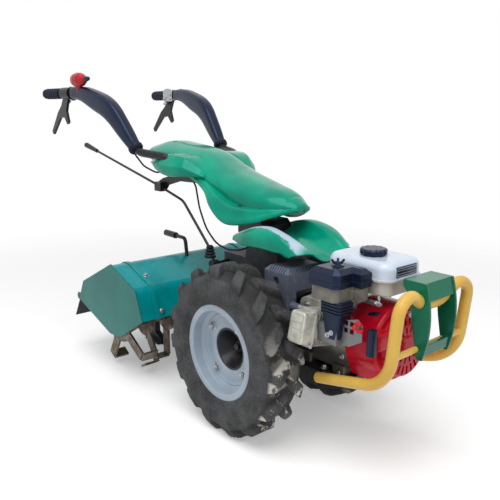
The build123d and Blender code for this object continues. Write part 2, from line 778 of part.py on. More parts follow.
# Bumper frame: two bowed side plates with an ear at the top, a folded head and a foot bar
FRAME_FRONT = FRONT_REACH - FRAME_BULGE
FRAME_MID = (FRAME_LOW + FRAME_TOP) / 2
EAR_REAR = FRONT_REACH - 80
with BuildPart() as bumper_frame:
    with BuildSketch(side(FRAME_HALF)):
        with BuildLine():
            ThreePointArc((FRAME_FRONT, FRAME_LOW), (FRONT_REACH, FRAME_MID), (FRAME_FRONT, FRAME_TOP))
            Polyline(
                (FRAME_FRONT, FRAME_TOP),
                (EAR_REAR, FRAME_TOP),
                (EAR_REAR, FRAME_TOP - 16),
                (EAR_REAR + 22, FRAME_TOP - 38),
                (EAR_REAR + 32, FRAME_MID - 12),
                (FRAME_FRONT - 16, FRAME_LOW),
                (FRAME_FRONT, FRAME_LOW),
            )
        make_face()
    extrude(amount=2 * FRAME_HALF)
    with BuildSketch(side(FRAME_HALF - FRAME_PLATE)):
        with Locations(((EAR_REAR + FRONT_REACH) / 2, FRAME_MID)):
            Rectangle(FRONT_REACH - EAR_REAR + 20, FRAME_TOP - FRAME_LOW + 20)
    extrude(amount=2 * (FRAME_HALF - FRAME_PLATE), mode=Mode.SUBTRACT)
    with BuildSketch(side(FRAME_HALF - FRAME_PLATE)):
        with BuildLine():
            Polyline(
                (FRAME_FRONT - 2, FRAME_TOP),
                (EAR_REAR, FRAME_TOP),
                (EAR_REAR, FRAME_TOP - SHEET),
                (FRAME_FRONT - 7, FRAME_TOP - SHEET),
                (FRAME_FRONT + 3, FRAME_TOP - HEAD_TALL),
                (FRAME_FRONT + 9, FRAME_TOP - HEAD_TALL),
                close=True,
            )
        make_face()
        with BuildLine():
            Polyline(
                (FRAME_FRONT - 10, FOOT_LOW),
                (FRAME_FRONT, FOOT_LOW),
                (FRAME_FRONT + 6, FOOT_LOW + FOOT_TALL),
                (FRAME_FRONT - 4, FOOT_LOW + FOOT_TALL),
                close=True,
            )
        make_face()
    extrude(amount=2 * (FRAME_HALF - FRAME_PLATE))
    for tube in bumper_tubes.values():
        add(tube, mode=Mode.SUBTRACT)
    add(crossbar_seated.part, mode=Mode.SUBTRACT)
with BuildPart() as bumper_frame_seated:
    add(bumper_frame.part.solids().sort_by(SortBy.VOLUME)[-1])
save(bumper_frame_seated, "bumper_frame")

# Hood: pressed saddle over the gearbox, two fender ridges with a valley that falls to the front
COLUMN_FRONT = -30
VALLEY_Z = GEARBOX_TOP + SHEET + SEAT_GAP
RIDGE_HALF = 12
SHOULDER_SHARE = 0.6
SLOT_GAP = 6
HOOD = (
    # x, edge z, crest z, valley z, half width, ridge distance from the middle
    (-112, 552, 566, 556, 108, 88),
    (-50, 546, 592, VALLEY_Z, 122, 92),
    (GEARBOX_NECK + 4, 548, 606, VALLEY_Z, 124, 94),
    (90, 538, 596, 552, 124, 96),
    (145, 528, 576, 534, 120, 94),
    (192, 514, 549, 524, 112, 90),
)
with BuildPart() as hood:
    for inset, mode in ((0, Mode.ADD), (SHEET, Mode.SUBTRACT)):
        for x, edge, crest, valley, half, ridge in HOOD:
            foot = (half - inset, edge - 3 * inset)
            shoulder = (half - inset - 4, edge + SHOULDER_SHARE * (crest - edge) - inset)
            outer = (ridge + RIDGE_HALF, crest - 2 - inset)
            inner = (ridge - RIDGE_HALF, crest - inset)
            with BuildSketch(front(x)):
                with BuildLine():
                    Line((-foot[0], foot[1]), foot)
                    for sign in (1, -1):
                        ThreePointArc(
                            (sign * foot[0], foot[1]),
                            (sign * shoulder[0], shoulder[1]),
                            (sign * outer[0], outer[1]),
                        )
                        Line((sign * outer[0], outer[1]), (sign * inner[0], inner[1]))
                    ThreePointArc(inner, (0, valley - inset), (-inner[0], inner[1]))
                make_face()
        loft(ruled=True, mode=mode)
    with BuildSketch(level(HOOD[0][1] - SHEET)):
        with Locations((HOOD[0][0], 0)):
            Rectangle(2 * (COLUMN_FRONT + SLOT_GAP - HOOD[0][0]), 2 * (COLUMN_BLOCK_HALF + SLOT_GAP))
    extrude(amount=HOOD[2][2], mode=Mode.SUBTRACT)
with BuildPart() as hood_sheet:
    add(hood.part.solids().sort_by(SortBy.VOLUME)[-1])
save(hood_sheet, "hood")

# Console shroud: an open-bottomed moulding from a closed nose to an arched mouth at the rear
CONSOLE = (
    # x, foot z, foot half width, shoulder z, shoulder half width, crown z
    (78, 655, 26, 660, 22, 668),
    (30, 638, 66, 668, 54, 696),
    (-60, 608, 108, 682, 84, 718),
    (-130, 603, 126, 696, 92, 734),
    (-205, 645, 126, 716, 96, 752),
    (-250, 684, 112, 730, 98, 768),
    (-340, 728, 108, 764, 98, 803),
    (-480, 752, 106, 790, 94, 824),
    (-570, 764, 96, 796, 86, 830),
    (-640, 776, 84, 796, 76, 816),
)
WING_ROOT = 88
WING_BEVEL = 24
WING_TUCK = 10
WINGS = (
    # x, foot z, top z, outer distance from the middle
    (-262, 728, 742, 116),
    (-320, 730, 784, 152),
    (-400, 726, 798, 168),
    (-490, 748, 786, 162),
    (-520, 758, 776, 150),
)
MOUTH_REACH = 1.3
WING_DROP = 20
with BuildPart() as console:
    for wall, reach, mode in ((0, 1, Mode.ADD), (SHEET, MOUTH_REACH, Mode.SUBTRACT)):
        for x, foot, foot_half, shoulder, shoulder_half, crown in CONSOLE[1:] if wall else CONSOLE:
            low = shoulder + reach * (foot - shoulder)
            low_half = shoulder_half + reach * (foot_half - shoulder_half) - wall
            high = shoulder - wall
            high_half = shoulder_half - wall
            with BuildSketch(front(x)):
                with BuildLine():
                    Polyline((-high_half, high), (-low_half, low), (low_half, low), (high_half, high))
                    ThreePointArc((high_half, high), (0, crown - wall), (-high_half, high))
                make_face()
        loft(ruled=True, mode=mode)
        for name, hand in HANDS:
            for x, foot, top, outer in WINGS[1:-1] if wall else WINGS:
                low = foot - WING_DROP if wall else foot
                with BuildSketch(front(x)):
                    with BuildLine():
                        Polyline(
                            (hand * (WING_ROOT - wall), low),
                            (hand * (outer - WING_TUCK - wall), low),
                            (hand * (outer - wall), (foot + top) / 2),
                            (hand * (outer - WING_BEVEL - wall), top - wall),
                            (hand * (WING_ROOT - wall), top - wall),
                            close=True,
                        )
                    make_face()
            loft(ruled=True, mode=mode)

# Handlebar column: clamp block on the gearbox with a post up to the console
COLUMN_REAR = -150
COLUMN_TOP = 610
POST_FRONT = -80
POST_ROOT = 5
COLUMN_BEVEL = 14
POST_TOP = CONSOLE[4][5]
with BuildPart() as handlebar_column:
    with BuildSketch(side(0)):
        with BuildLine():
            Polyline(
                (COLUMN_REAR, GEARBOX_TOP),
                (COLUMN_FRONT, GEARBOX_TOP),
                (COLUMN_FRONT, COLUMN_TOP - COLUMN_BEVEL),
                (COLUMN_FRONT - COLUMN_BEVEL, COLUMN_TOP),
                (COLUMN_REAR, COLUMN_TOP),
                close=True,
            )
        make_face()
    extrude(amount=COLUMN_BLOCK_HALF, both=True)
    with BuildSketch(level(COLUMN_TOP - POST_ROOT)):
        with Locations(((COLUMN_REAR + POST_FRONT) / 2, 0)):
            RectangleRounded(POST_FRONT - COLUMN_REAR, 2 * COLUMN_HALF, 8)
    extrude(amount=POST_TOP - COLUMN_TOP + POST_ROOT)
    add(console.part, mode=Mode.SUBTRACT)
with BuildPart() as column_seated:
    add(handlebar_column.part.solids().sort_by(SortBy.VOLUME)[-1])
save(column_seated, "handlebar_column")

# Handlebar tubes, moulded covers, grips and levers
HANDLE = (
    # x, distance from the middle, z, bend radius
    (-118, 12, 700, 0),
    (-310, 92, 735, 120),
    (-430, 150, 790, 120),
    (-540, 182, 800, 70),
    (-680, 206, 946, 200),
    (BEND_X, BEND_Y, GRIP_Z, 300),
    (-REAR_REACH, GRIP_Y, GRIP_Z, 0),
)
LEVER_INSET = 14
LEVER_T = 10
CLAMP_WALL = 8
CLAMP_GAP = 18
COVER_START = 0.14
COVER_CORNER = 13
COVER = (
    # share of the cover's run, width, height
    (0, 36, 40),
    (0.10, 42, 50),
    (0.28, 46, 64),
    (0.42, 50, 72),
    (0.58, 50, 72),
    (0.74, 48, 62),
    (0.88, 44, 50),
    (1, 42, 42),
)
handle_tubes = {}
handle_covers = {}
for name, hand in HANDS:
    route = [Vector(point(x, hand * y, z)) for x, y, z, _ in HANDLE]
    with BuildPart() as handlebar_tube:
        with BuildLine() as path:
            FilletPolyline(*route, radius=tuple(bend for *_, bend in HANDLE[1:-1]))
        with BuildSketch(Plane(origin=path.line @ 0, z_dir=path.line % 0)):
            Circle(HANDLE_TUBE_R)
        sweep(path=path.line)
        add(column_seated.part, mode=Mode.SUBTRACT)
    with BuildPart() as tube_seated:
        add(handlebar_tube.part.solids().sort_by(SortBy.VOLUME)[-1])
    handle_tubes[name] = tube_seated.part
    save(tube_seated, f"handlebar_tube_{name}")

    rearward = (route[-1] - route[-2]).normalized()
    grip_plane = Plane(origin=route[-1], x_dir=(0, 0, 1), z_dir=rearward)
    cover_end = route[-1] - rearward * (REAR_REACH - COVER_END)
    cover_start = route[3] + (route[4] - route[3]) * COVER_START
    with BuildPart() as handle_cover:
        with BuildLine() as path:
            FilletPolyline(cover_start, route[4], route[5], cover_end, radius=(HANDLE[4][3], HANDLE[5][3]))
        for share, wide, tall in COVER:
            along = path.line % share
            across = along.cross(Vector(0, 0, 1)).normalized()
            with BuildSketch(Plane(origin=path.line @ share, x_dir=across, z_dir=along)):
                RectangleRounded(wide, tall, COVER_CORNER)
        loft(ruled=True)
        add(tube_seated.part, mode=Mode.SUBTRACT)
    handle_covers[name] = handle_cover.part
    save(handle_cover, f"handle_cover_{name}")

    with BuildPart() as grip:
        with BuildSketch(grip_plane):
            Circle(GRIP_R)
            Circle(HANDLE_TUBE_R, mode=Mode.SUBTRACT)
        extrude(amount=-(REAR_REACH - GRIP_START))
    save(grip, f"grip_{name}")

    lever_y = hand * (GRIP_Y - LEVER_INSET)
    with BuildPart() as hand_lever:
        with BuildSketch(grip_plane.offset(COVER_END - REAR_REACH + CLAMP_GAP)):
            Circle(HANDLE_TUBE_R + CLAMP_WALL)
        extrude(amount=GRIP_START - COVER_END - 2 * CLAMP_GAP)
        with BuildSketch(side(lever_y + LEVER_T / 2)):
            with BuildLine():
                Polyline(
                    (-945, GRIP_Z - 10),
                    (-990, GRIP_Z - 10),
                    (-1016, GRIP_Z - 46),
                    (-1052, GRIP_Z - 72),
                    (-1120, GRIP_Z - 146),
                    (-1110, GRIP_Z - 158),
                    (-1036, GRIP_Z - 94),
                    (-996, GRIP_Z - 88),
                    (-972, GRIP_Z - 116),
                    (-960, GRIP_Z - 108),
                    (-974, GRIP_Z - 66),
                    (-962, GRIP_Z - 40),
                    close=True,
                )
            make_face()
        extrude(amount=LEVER_T)
        add(tube_seated.part, mode=Mode.SUBTRACT)
    save(hand_lever, f"hand_lever_{name}")

with BuildPart() as console_cut:
    add(console.part)
    for tube in handle_tubes.values():
        add(tube, mode=Mode.SUBTRACT)
with BuildPart() as console_shell:
    add(console_cut.part.solids().sort_by(SortBy.VOLUME)[-1])
save(console_shell, "console")

# Throttle: a bulbous twist lever on a stem through the right handle cover
THROTTLE_X = -852
THROTTLE_Y = -238
THROTTLE_Z = 1050
THROTTLE_STEM_R = 10
THROTTLE = (
    # distance along the bulb from its middle, radius
    (-54, 5),
    (-46, 15),
    (-28, 23),
    (-6, 26),
    (16, 24),
    (38, 16),
    (54, 6),
)
with BuildPart() as throttle_lever:
    with BuildSketch(side(THROTTLE_Y)):
        with BuildLine():
            Polyline(
                (THROTTLE_X + THROTTLE[0][0], THROTTLE_Z),
                *[(THROTTLE_X + along, THROTTLE_Z + r) for along, r in THROTTLE],
                (THROTTLE_X + THROTTLE[-1][0], THROTTLE_Z),
                close=True,
            )
        make_face()
    revolve(axis=Axis(point(THROTTLE_X, THROTTLE_Y, THROTTLE_Z), (1, 0, 0)))
    with BuildSketch(level(THROTTLE_Z)):
        with Locations((THROTTLE_X, THROTTLE_Y)):
            Circle(THROTTLE_STEM_R)
    extrude(amount=GRIP_Z - THROTTLE_Z)
    add(handle_covers["right"], mode=Mode.SUBTRACT)
    add(handle_tubes["right"], mode=Mode.SUBTRACT)
with BuildPart() as throttle_seated:
    add(throttle_lever.part.solids().sort_by(SortBy.VOLUME)[-1])
save(throttle_seated, "throttle_lever")

# Gear rod with its grip and selector joint, and the forked guide that carries it
ROD_Y = -100
ROD_R = 4.5
ROD_GRIP_R = 11
ROD_GRIP_LONG = 96
GUIDE_X = -539
GUIDE_Z = 676
GUIDE_LONG = 40
GUIDE_WIDE = 24
GUIDE_TALL = 32
GUIDE_PLATE = 6
SELECTOR_X = -224
SELECTOR_Z = 452
SELECTOR_EYE_R = 14
SELECTOR_EYE = 24
SELECTOR_PIN_R = 8
with BuildPart() as gear_rod:
    with BuildLine() as path:
        FilletPolyline(
            point(-1112, ROD_Y, 797),
            point(GUIDE_X, ROD_Y, GUIDE_Z),
            point(-395, ROD_Y, 640),
            point(-318, ROD_Y, 568),
            point(-236, ROD_Y, 490),
            point(SELECTOR_X, ROD_Y, SELECTOR_Z),
            radius=(200, 60, 60, 30),
        )
    with BuildSketch(Plane(origin=path.line @ 0, z_dir=path.line % 0)):
        Circle(ROD_R)
    sweep(path=path.line)
    with BuildSketch(Plane(origin=path.line @ 0, z_dir=path.line % 0)):
        Circle(ROD_GRIP_R)
    extrude(amount=ROD_GRIP_LONG, taper=2)
    with Locations(path.line @ 0):
        Sphere(ROD_GRIP_R)
    with BuildSketch(side(ROD_Y - SELECTOR_EYE / 2)):
        with Locations((SELECTOR_X, SELECTOR_Z)):
            Circle(SELECTOR_EYE_R)
    extrude(amount=-SELECTOR_EYE)
    with BuildSketch(side(ROD_Y)):
        with Locations((SELECTOR_X, SELECTOR_Z)):
            Circle(SELECTOR_PIN_R)
    extrude(amount=ROD_Y + SELECTOR_HALF)
save(gear_rod, "gear_rod")

with BuildPart() as rod_guide:
    with BuildSketch(side(ROD_Y + GUIDE_WIDE / 2)):
        with BuildLine():
            Polyline(
                (GUIDE_X - 20, GUIDE_Z - 16),
                (GUIDE_X + 20, GUIDE_Z - 16),
                (GUIDE_X + 44, GUIDE_Z + 8),
                (-420, 704),
                (-330, 706),
                (-268, 712),
                (-268, 728),
                (-340, 738),
                (-440, 728),
                (GUIDE_X + 10, GUIDE_Z + 30),
                (GUIDE_X - 20, GUIDE_Z + 16),
                close=True,
            )
        make_face()
    extrude(amount=GUIDE_PLATE)
    with BuildSketch(front(GUIDE_X - GUIDE_LONG / 2)):
        with Locations((ROD_Y, GUIDE_Z)):
            Rectangle(GUIDE_WIDE, GUIDE_TALL)
    extrude(amount=GUIDE_LONG)
    add(handle_tubes["right"], mode=Mode.SUBTRACT)
    add(gear_rod.part, mode=Mode.SUBTRACT)
with BuildPart() as rod_guide_seated:
    add(rod_guide.part.solids().sort_by(SortBy.VOLUME)[-1])
save(rod_guide_seated, "rod_guide")

# Control cables: one from the console to the gearbox, one from the right handle cover to the console
CABLE_R = 3
CABLES = {
    "clutch_cable": (
        # x, y, z, bend radius
        (-354, -92, 726, 0),
        (-346, -80, 690, 30),
        (-331, -78, 621, 120),
        (-298, -76, 556, 120),
        (-244, -74, 512, 90),
        (-186, -72, 502, 90),
        (-126, -70, 510, 60),
        (-96, -58, 524, 0),
    ),
    "throttle_cable": (
        (-576, -186, 838, 0),
        (-562, -182, 790, 40),
        (-530, -168, 752, 60),
        (-468, -136, 722, 40),
        (-424, -147, 786, 0),
    ),
}
CABLE_ENDS = {
    "clutch_cable": (gearbox.part, rod_guide_seated.part),
    "throttle_cable": (handle_covers["right"], handle_tubes["right"]),
}
for name, route in CABLES.items():
    with BuildPart() as cable:
        with BuildLine() as path:
            FilletPolyline(
                *[point(x, y, z) for x, y, z, _ in route],
                radius=tuple(bend for *_, bend in route[1:-1]),
            )
        with BuildSketch(Plane(origin=path.line @ 0, z_dir=path.line % 0)):
            Circle(CABLE_R)
        sweep(path=path.line)
        for end in CABLE_ENDS[name]:
            add(end, mode=Mode.SUBTRACT)
    with BuildPart() as cable_seated:
        add(cable.part.solids().sort_by(SortBy.VOLUME)[-1])
    save(cable_seated, name)
    print(name, "bend radii", [bend for *_, bend in route[1:-1]])

# Tiller: coupling, gearcase, hood sheet, side plates, depth skid and lever
COUPLING_Z = 345
COUPLING_REAR = -240
COUPLING_R = 46
COUPLING_FLANGE_R = 62
COUPLING_FLANGE = 14
FINAL_DRIVE_R = 60
with BuildPart() as tiller_coupling:
    with BuildSketch(front(-GEARBOX_REAR)):
        with Locations((0, COUPLING_Z)):
            Circle(COUPLING_FLANGE_R)
    extrude(amount=-COUPLING_FLANGE)
    with BuildSketch(front(-GEARBOX_REAR - COUPLING_FLANGE)):
        with Locations((0, COUPLING_Z)):
            Circle(COUPLING_R)
    extrude(amount=COUPLING_REAR + GEARBOX_REAR + COUPLING_FLANGE)
save(tiller_coupling, "tiller_coupling")

with BuildPart() as tiller_gearcase:
    with BuildSketch(side(0)):
        with BuildLine():
            Polyline(
                (COUPLING_REAR, COUPLING_Z + COUPLING_R),
                (COUPLING_REAR, COUPLING_Z - COUPLING_R),
                (ROTOR_X + 20, ROTOR_Z - FINAL_DRIVE_R + 4),
                (ROTOR_X - FINAL_DRIVE_R + 2, ROTOR_Z + 10),
                (ROTOR_X + 10, ROTOR_Z + FINAL_DRIVE_R + 10),
                (-400, COUPLING_Z),
                close=True,
            )
        make_face()
        with Locations((ROTOR_X, ROTOR_Z)):
            Circle(FINAL_DRIVE_R)
    extrude(amount=GEARCASE_HALF, both=True)
    with BuildSketch(side(0)):
        with Locations((ROTOR_X, ROTOR_Z)):
            Circle(ROTOR_SHAFT_R + RUNNING_FIT)
    extrude(amount=GEARCASE_HALF, both=True, mode=Mode.SUBTRACT)
save(tiller_gearcase, "tiller_gearcase")

HOOD_TOP = (-554, 419)
HOOD_BACK = (-783, 309)
HOOD_TAIL = (-812, 256)
HOOD_FOOT_REAR = (-583, 156)
HOOD_FOOT_FRONT = (-508, 163)
HOOD_LIP = (-349, 262)
HOOD_BROW = (-387, 360)
BEAD_Y = 238
BEAD_WIDE = 12
BEAD_H = 4
with BuildPart() as tiller_hood:
    for start, wide, thick, way in (
        (TILLER_HALF, 2 * TILLER_HALF, SHEET, Side.LEFT),
        (BEAD_Y + BEAD_WIDE / 2, BEAD_WIDE, BEAD_H, Side.RIGHT),
        (-BEAD_Y + BEAD_WIDE / 2, BEAD_WIDE, BEAD_H, Side.RIGHT),
    ):
        with BuildSketch(side(start)):
            with BuildLine():
                FilletPolyline(HOOD_LIP, HOOD_BROW, HOOD_TOP, HOOD_BACK, HOOD_TAIL, radius=(30, 60, 40))
                offset(amount=thick, side=way)
            make_face()
        extrude(amount=wide)
    add(tiller_gearcase.part, mode=Mode.SUBTRACT)
with BuildPart() as tiller_hood_seated:
    add(tiller_hood.part.solids().sort_by(SortBy.VOLUME)[-1])
save(tiller_hood_seated, "tiller_hood")

for name, hand in HANDS:
    with BuildPart() as tiller_side:
        with BuildSketch(side(hand * TILLER_HALF)):
            with BuildLine():
                Polyline(
                    HOOD_LIP,
                    HOOD_BROW,
                    HOOD_TOP,
                    HOOD_BACK,
                    HOOD_TAIL,
                    (FLAP_X - 12, FLAP_Z),
                    (FLAP_X + 10, FLAP_Z - 14),
                    HOOD_FOOT_REAR,
                    HOOD_FOOT_FRONT,
                    close=True,
                )
            make_face()
            with Locations((FLAP_X, FLAP_Z)):
                Circle(FLAP_EYE_R)
                Circle(FLAP_ROLL_R + RUNNING_FIT, mode=Mode.SUBTRACT)
        extrude(amount=-hand * SHEET)
    save(tiller_side, f"tiller_side_{name}")

SKID_X = -775
SKID_HALF = 30
SHANK_HALF = 18
SHANK_T = 24
SHANK_TOP = 320
SHOE_LONG = 110
SHOE_T = 10
with BuildPart() as depth_skid:
    with BuildSketch(side(SHANK_T / 2)):
        with BuildLine():
            Polyline(
                (SKID_X - SHANK_HALF, SHANK_TOP),
                (SKID_X + SHANK_HALF, SHANK_TOP),
                (SKID_X + SHANK_HALF, 40),
                (SKID_X + 70, 14),
                (SKID_X + 78, 0),
                (SKID_X - 40, 0),
                (SKID_X - 52, 16),
                (SKID_X - SHANK_HALF, 26),
                close=True,
            )
        make_face()
    extrude(amount=SHANK_T)
    with BuildSketch(level(0)):
        with Locations((SKID_X + 12, 0)):
            RectangleRounded(SHOE_LONG, 2 * SKID_HALF, 12)
    extrude(amount=SHOE_T)
    add(tiller_hood_seated.part, mode=Mode.SUBTRACT)
with BuildPart() as depth_skid_seated:
    add(depth_skid.part.solids().sort_by(SortBy.VOLUME)[-1])
save(depth_skid_seated, "depth_skid")

CRANK_FOOT = (-526, 0, 400)
CRANK_ELBOW = (-537, 0, 473)
CRANK_END = (-668, 0, 475)
CRANK_BEND = 16
CRANK_ROD_R = 7
CRANK_GRIP_R = 12
CRANK_GRIP_LONG = 70
with BuildPart() as depth_lever:
    with BuildLine() as path:
        FilletPolyline(point(*CRANK_FOOT), point(*CRANK_ELBOW), point(*CRANK_END), radius=CRANK_BEND)
    with BuildSketch(Plane(origin=path.line @ 0, z_dir=path.line % 0)):
        Circle(CRANK_ROD_R)
    sweep(path=path.line)
    with BuildSketch(Plane(origin=path.line @ 1, z_dir=path.line % 1)):
        Circle(CRANK_GRIP_R)
    extrude(amount=-CRANK_GRIP_LONG)
    add(tiller_hood_seated.part, mode=Mode.SUBTRACT)
with BuildPart() as depth_lever_seated:
    add(depth_lever.part.solids().sort_by(SortBy.VOLUME)[-1])
save(depth_lever_seated, "depth_lever")

# Rotor: shaft with flanges of four bent blades each
FLANGE_FIRST = 72
FLANGE_LAST = TILLER_HALF - 40
FLANGES = (
    # distance from the middle, way that the blades' feet turn: 1 outward, -1 inward
    (FLANGE_FIRST, 1),
    ((FLANGE_FIRST + FLANGE_LAST) / 2, 1),
    (FLANGE_LAST, -1),
)
BLADES = 4
BLADE_WIDE = 36
BLADE_T = 8
BLADE_FOOT = 58
BLADE_ROOT = 30
BLADE_TIP = 12
STAGGER = 30
SHAFT_HALF = TILLER_HALF - 10
FLANGE_DISC_R = 62
with BuildPart() as tiller_rotor:
    with BuildSketch(side(SHAFT_HALF)):
        with Locations((ROTOR_X, ROTOR_Z)):
            Circle(ROTOR_SHAFT_R)
    extrude(amount=2 * SHAFT_HALF)
    for order, (distance, way) in enumerate([*FLANGES, *FLANGES]):
        hand = 1 if order < len(FLANGES) else -1
        offset_y = hand * distance
        with BuildSketch(side(offset_y + BLADE_T / 2)):
            with Locations((ROTOR_X, ROTOR_Z)):
                Circle(FLANGE_DISC_R)
        extrude(amount=BLADE_T)
        for index in range(BLADES):
            turn = radians(360 / BLADES * index + STAGGER * order)
            radial = (cos(turn), 0, sin(turn))
            across = Plane(
                origin=point(ROTOR_X, offset_y, ROTOR_Z),
                x_dir=(0, 1, 0),
                z_dir=radial,
            )
            with BuildSketch(across.offset(FLANGE_DISC_R - BLADE_ROOT)):
                Rectangle(BLADE_T, BLADE_WIDE)
            extrude(amount=TINE_R - BLADE_TIP - FLANGE_DISC_R + BLADE_ROOT)
            with BuildSketch(across.offset(TINE_R - BLADE_TIP)):
                with Locations((hand * way * BLADE_FOOT / 2, 0)):
                    Rectangle(BLADE_FOOT, BLADE_WIDE)
            extrude(amount=BLADE_T)
save(tiller_rotor, "tiller_rotor")

# Rear flap on its rolled hinge edge
FLAP_HALF = TILLER_HALF - 4
with BuildPart() as rear_flap:
    with BuildSketch(side(TILLER_HALF + SHEET)):
        with Locations((FLAP_X, FLAP_Z)):
            Circle(FLAP_ROLL_R)
    extrude(amount=2 * (TILLER_HALF + SHEET))
    lean = radians(FLAP_LEAN)
    hang = Plane(
        origin=point(FLAP_X, 0, FLAP_Z),
        x_dir=(0, 1, 0),
        z_dir=(-sin(lean), 0, -cos(lean)),
    )
    with BuildSketch(hang):
        Rectangle(2 * FLAP_HALF, FLAP_T)
    extrude(amount=FLAP_LENGTH)
save(rear_flap, "rear_flap")
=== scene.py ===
"""Dresses the two-wheel walking tractor: finishes, tyres, rims, mouldings, engine detail and controls."""

import json
from math import cos, radians, sin, tau

import bmesh
import bpy
import numpy as np
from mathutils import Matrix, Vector


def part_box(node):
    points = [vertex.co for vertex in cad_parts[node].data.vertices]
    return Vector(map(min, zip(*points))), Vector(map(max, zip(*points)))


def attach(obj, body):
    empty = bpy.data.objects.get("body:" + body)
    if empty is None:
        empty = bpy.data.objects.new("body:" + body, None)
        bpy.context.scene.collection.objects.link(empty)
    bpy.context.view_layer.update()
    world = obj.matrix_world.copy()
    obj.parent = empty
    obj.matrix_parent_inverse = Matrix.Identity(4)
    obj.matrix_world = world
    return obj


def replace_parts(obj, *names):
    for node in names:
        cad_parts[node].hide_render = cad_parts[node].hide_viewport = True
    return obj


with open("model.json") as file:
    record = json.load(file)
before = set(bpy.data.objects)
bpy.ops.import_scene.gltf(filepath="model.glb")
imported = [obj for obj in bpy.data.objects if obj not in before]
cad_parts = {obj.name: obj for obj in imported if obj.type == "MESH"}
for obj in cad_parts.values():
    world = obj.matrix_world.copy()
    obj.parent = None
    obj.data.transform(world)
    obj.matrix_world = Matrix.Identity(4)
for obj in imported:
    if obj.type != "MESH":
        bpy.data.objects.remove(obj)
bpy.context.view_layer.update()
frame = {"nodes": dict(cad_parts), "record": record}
nodes = frame["nodes"]
scene = bpy.context.scene
scene.view_settings.view_transform = "Standard"

HANDS = (("right", -1), ("left", 1))
MM = 0.001
FORWARD, LEFT, UP = Vector((1, 0, 0)), Vector((0, 1, 0)), Vector((0, 0, 1))
rim_low, rim_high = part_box("rim_right")
AXLE = Vector(((rim_low.x + rim_high.x) / 2, 0, (rim_low.z + rim_high.z) / 2))


def at(x, y, z):
    """A place in millimetres: forward of the axle, left of the middle, up from the floor."""
    return Vector((AXLE.x + x * MM, y * MM, z * MM))


# Shader arithmetic

class Signal:
    """One socket of a shader: sums and products of signals add the Math nodes that work them out."""

    def __init__(self, maker, socket):
        self.maker = maker
        self.socket = socket

    def math(self, operation, *others):
        values = dict(enumerate((self, *others)))
        return self.maker.node("ShaderNodeMath", {"operation": operation}, values)

    def __add__(self, other):
        return self.math("ADD", other)

    def __mul__(self, other):
        return self.math("MULTIPLY", other)

    def __sub__(self, other):
        return self.math("SUBTRACT", other)

    def __rsub__(self, other):
        return self.maker.node("ShaderNodeMath", {"operation": "SUBTRACT"}, {0: other, 1: self})

    __radd__ = __add__
    __rmul__ = __mul__


class NodeMaker:
    """Adds nodes to the tree of a material or of the world."""

    def __init__(self, tree):
        self.tree = tree

    def node(self, kind, settings=None, sockets=None, out=0):
        made = self.tree.nodes.new(kind)
        for key, value in (settings or {}).items():
            setattr(made, key, value)
        for key, value in (sockets or {}).items():
            self.plug(made.inputs[key], value)
        return Signal(self, made.outputs[out])

    def plug(self, socket, value):
        if isinstance(value, Signal):
            self.tree.links.new(value.socket, socket)
        elif socket.type == "RGBA":
            socket.default_value = (*value, 1)
        else:
            socket.default_value = value


class Finish(NodeMaker):
    """A procedural material with its shader and the nodes that feed it."""

    def __init__(self, name, **constants):
        self.material = bpy.data.materials.new(name)
        self.material.use_nodes = True
        super().__init__(self.material.node_tree)
        self.shader = self.tree.nodes["Principled BSDF"]
        self.place = self.node("ShaderNodeTexCoord", out="Object")
        self.facing = self.node("ShaderNodeTexCoord", out="Normal")
        self.feed(**constants)

    def feed(self, **values):
        """Sockets of the shader by name, with spaces as underscores."""
        for name, value in values.items():
            self.plug(self.shader.inputs[name.replace("_", " ")], value)

    def noise(self, scale, detail=4, roughness=0.55, stretch=None):
        place = self.stretched(stretch) if stretch else self.place
        return self.node(
            "ShaderNodeTexNoise",
            None,
            {"Vector": place, "Scale": scale, "Detail": detail, "Roughness": roughness},
        )

    def cells(self, scale):
        return self.node("ShaderNodeTexVoronoi", None, {"Vector": self.place, "Scale": scale})

    def stretched(self, scale):
        return self.node("ShaderNodeMapping", None, {"Vector": self.place, "Scale": scale})

    def axis(self, name, vector=None):
        return self.node("ShaderNodeSeparateXYZ", None, {0: vector or self.place}, out=name)

    def vector(self, operation, *values, out=0):
        return self.node("ShaderNodeVectorMath", {"operation": operation}, dict(enumerate(values)), out)

    def ramp(self, value, low, high):
        return self.node(
            "ShaderNodeMapRange",
            {"interpolation_type": "SMOOTHSTEP"},
            {"Value": value, "From Min": low, "From Max": high},
        )

    def mix(self, first, second, share):
        return self.node("ShaderNodeMix", {"data_type": "RGBA"}, {0: share, 6: first, 7: second}, out=2)

    def bump(self, height, strength, depth, below=None):
        sockets = {"Strength": strength, "Distance": depth, "Height": height}
        if below:
            sockets["Normal"] = below
        return self.node("ShaderNodeBump", None, sockets)

    def rounded(self, radius):
        """Normals that round off sharp edges."""
        return self.node("ShaderNodeBevel", {"samples": 4}, {"Radius": radius})

    def edges(self, rounding):
        """Where the rounded normal leaves the flat one: 1 along sharp edges."""
        flat = self.node("ShaderNodeNewGeometry", out="Normal")
        along = self.vector("DOT_PRODUCT", rounding, flat, out="Value")
        return self.ramp(1 - along, 0.01, 0.16)

    def dust(self, scale):
        """Dust that settles on what faces up."""
        up = self.ramp(self.axis("Z", self.facing), 0.25, 0.95)
        return up * self.ramp(self.noise(scale, 6, 0.65), 0.42, 0.72)


def srgb(red, green, blue):
    """A colour as the eye reads it on a screen, from 0 to 255, as linear light."""
    steps = (c / 255 for c in (red, green, blue))
    return tuple(c / 12.92 if c <= 0.04045 else ((c + 0.055) / 1.055) ** 2.4 for c in steps)


DUST = srgb(176, 160, 134)
DRY_MUD = srgb(208, 205, 194)
BARE_STEEL = srgb(150, 150, 148)
# Blue tint of the mouldings' reflections: a painted sky reflection, since the lamps and the surround are white
SKY_REFLECTION_BLUE = srgb(150, 185, 255)
DARKER_BELOW_HEIGHT = (0.36, 0.31)


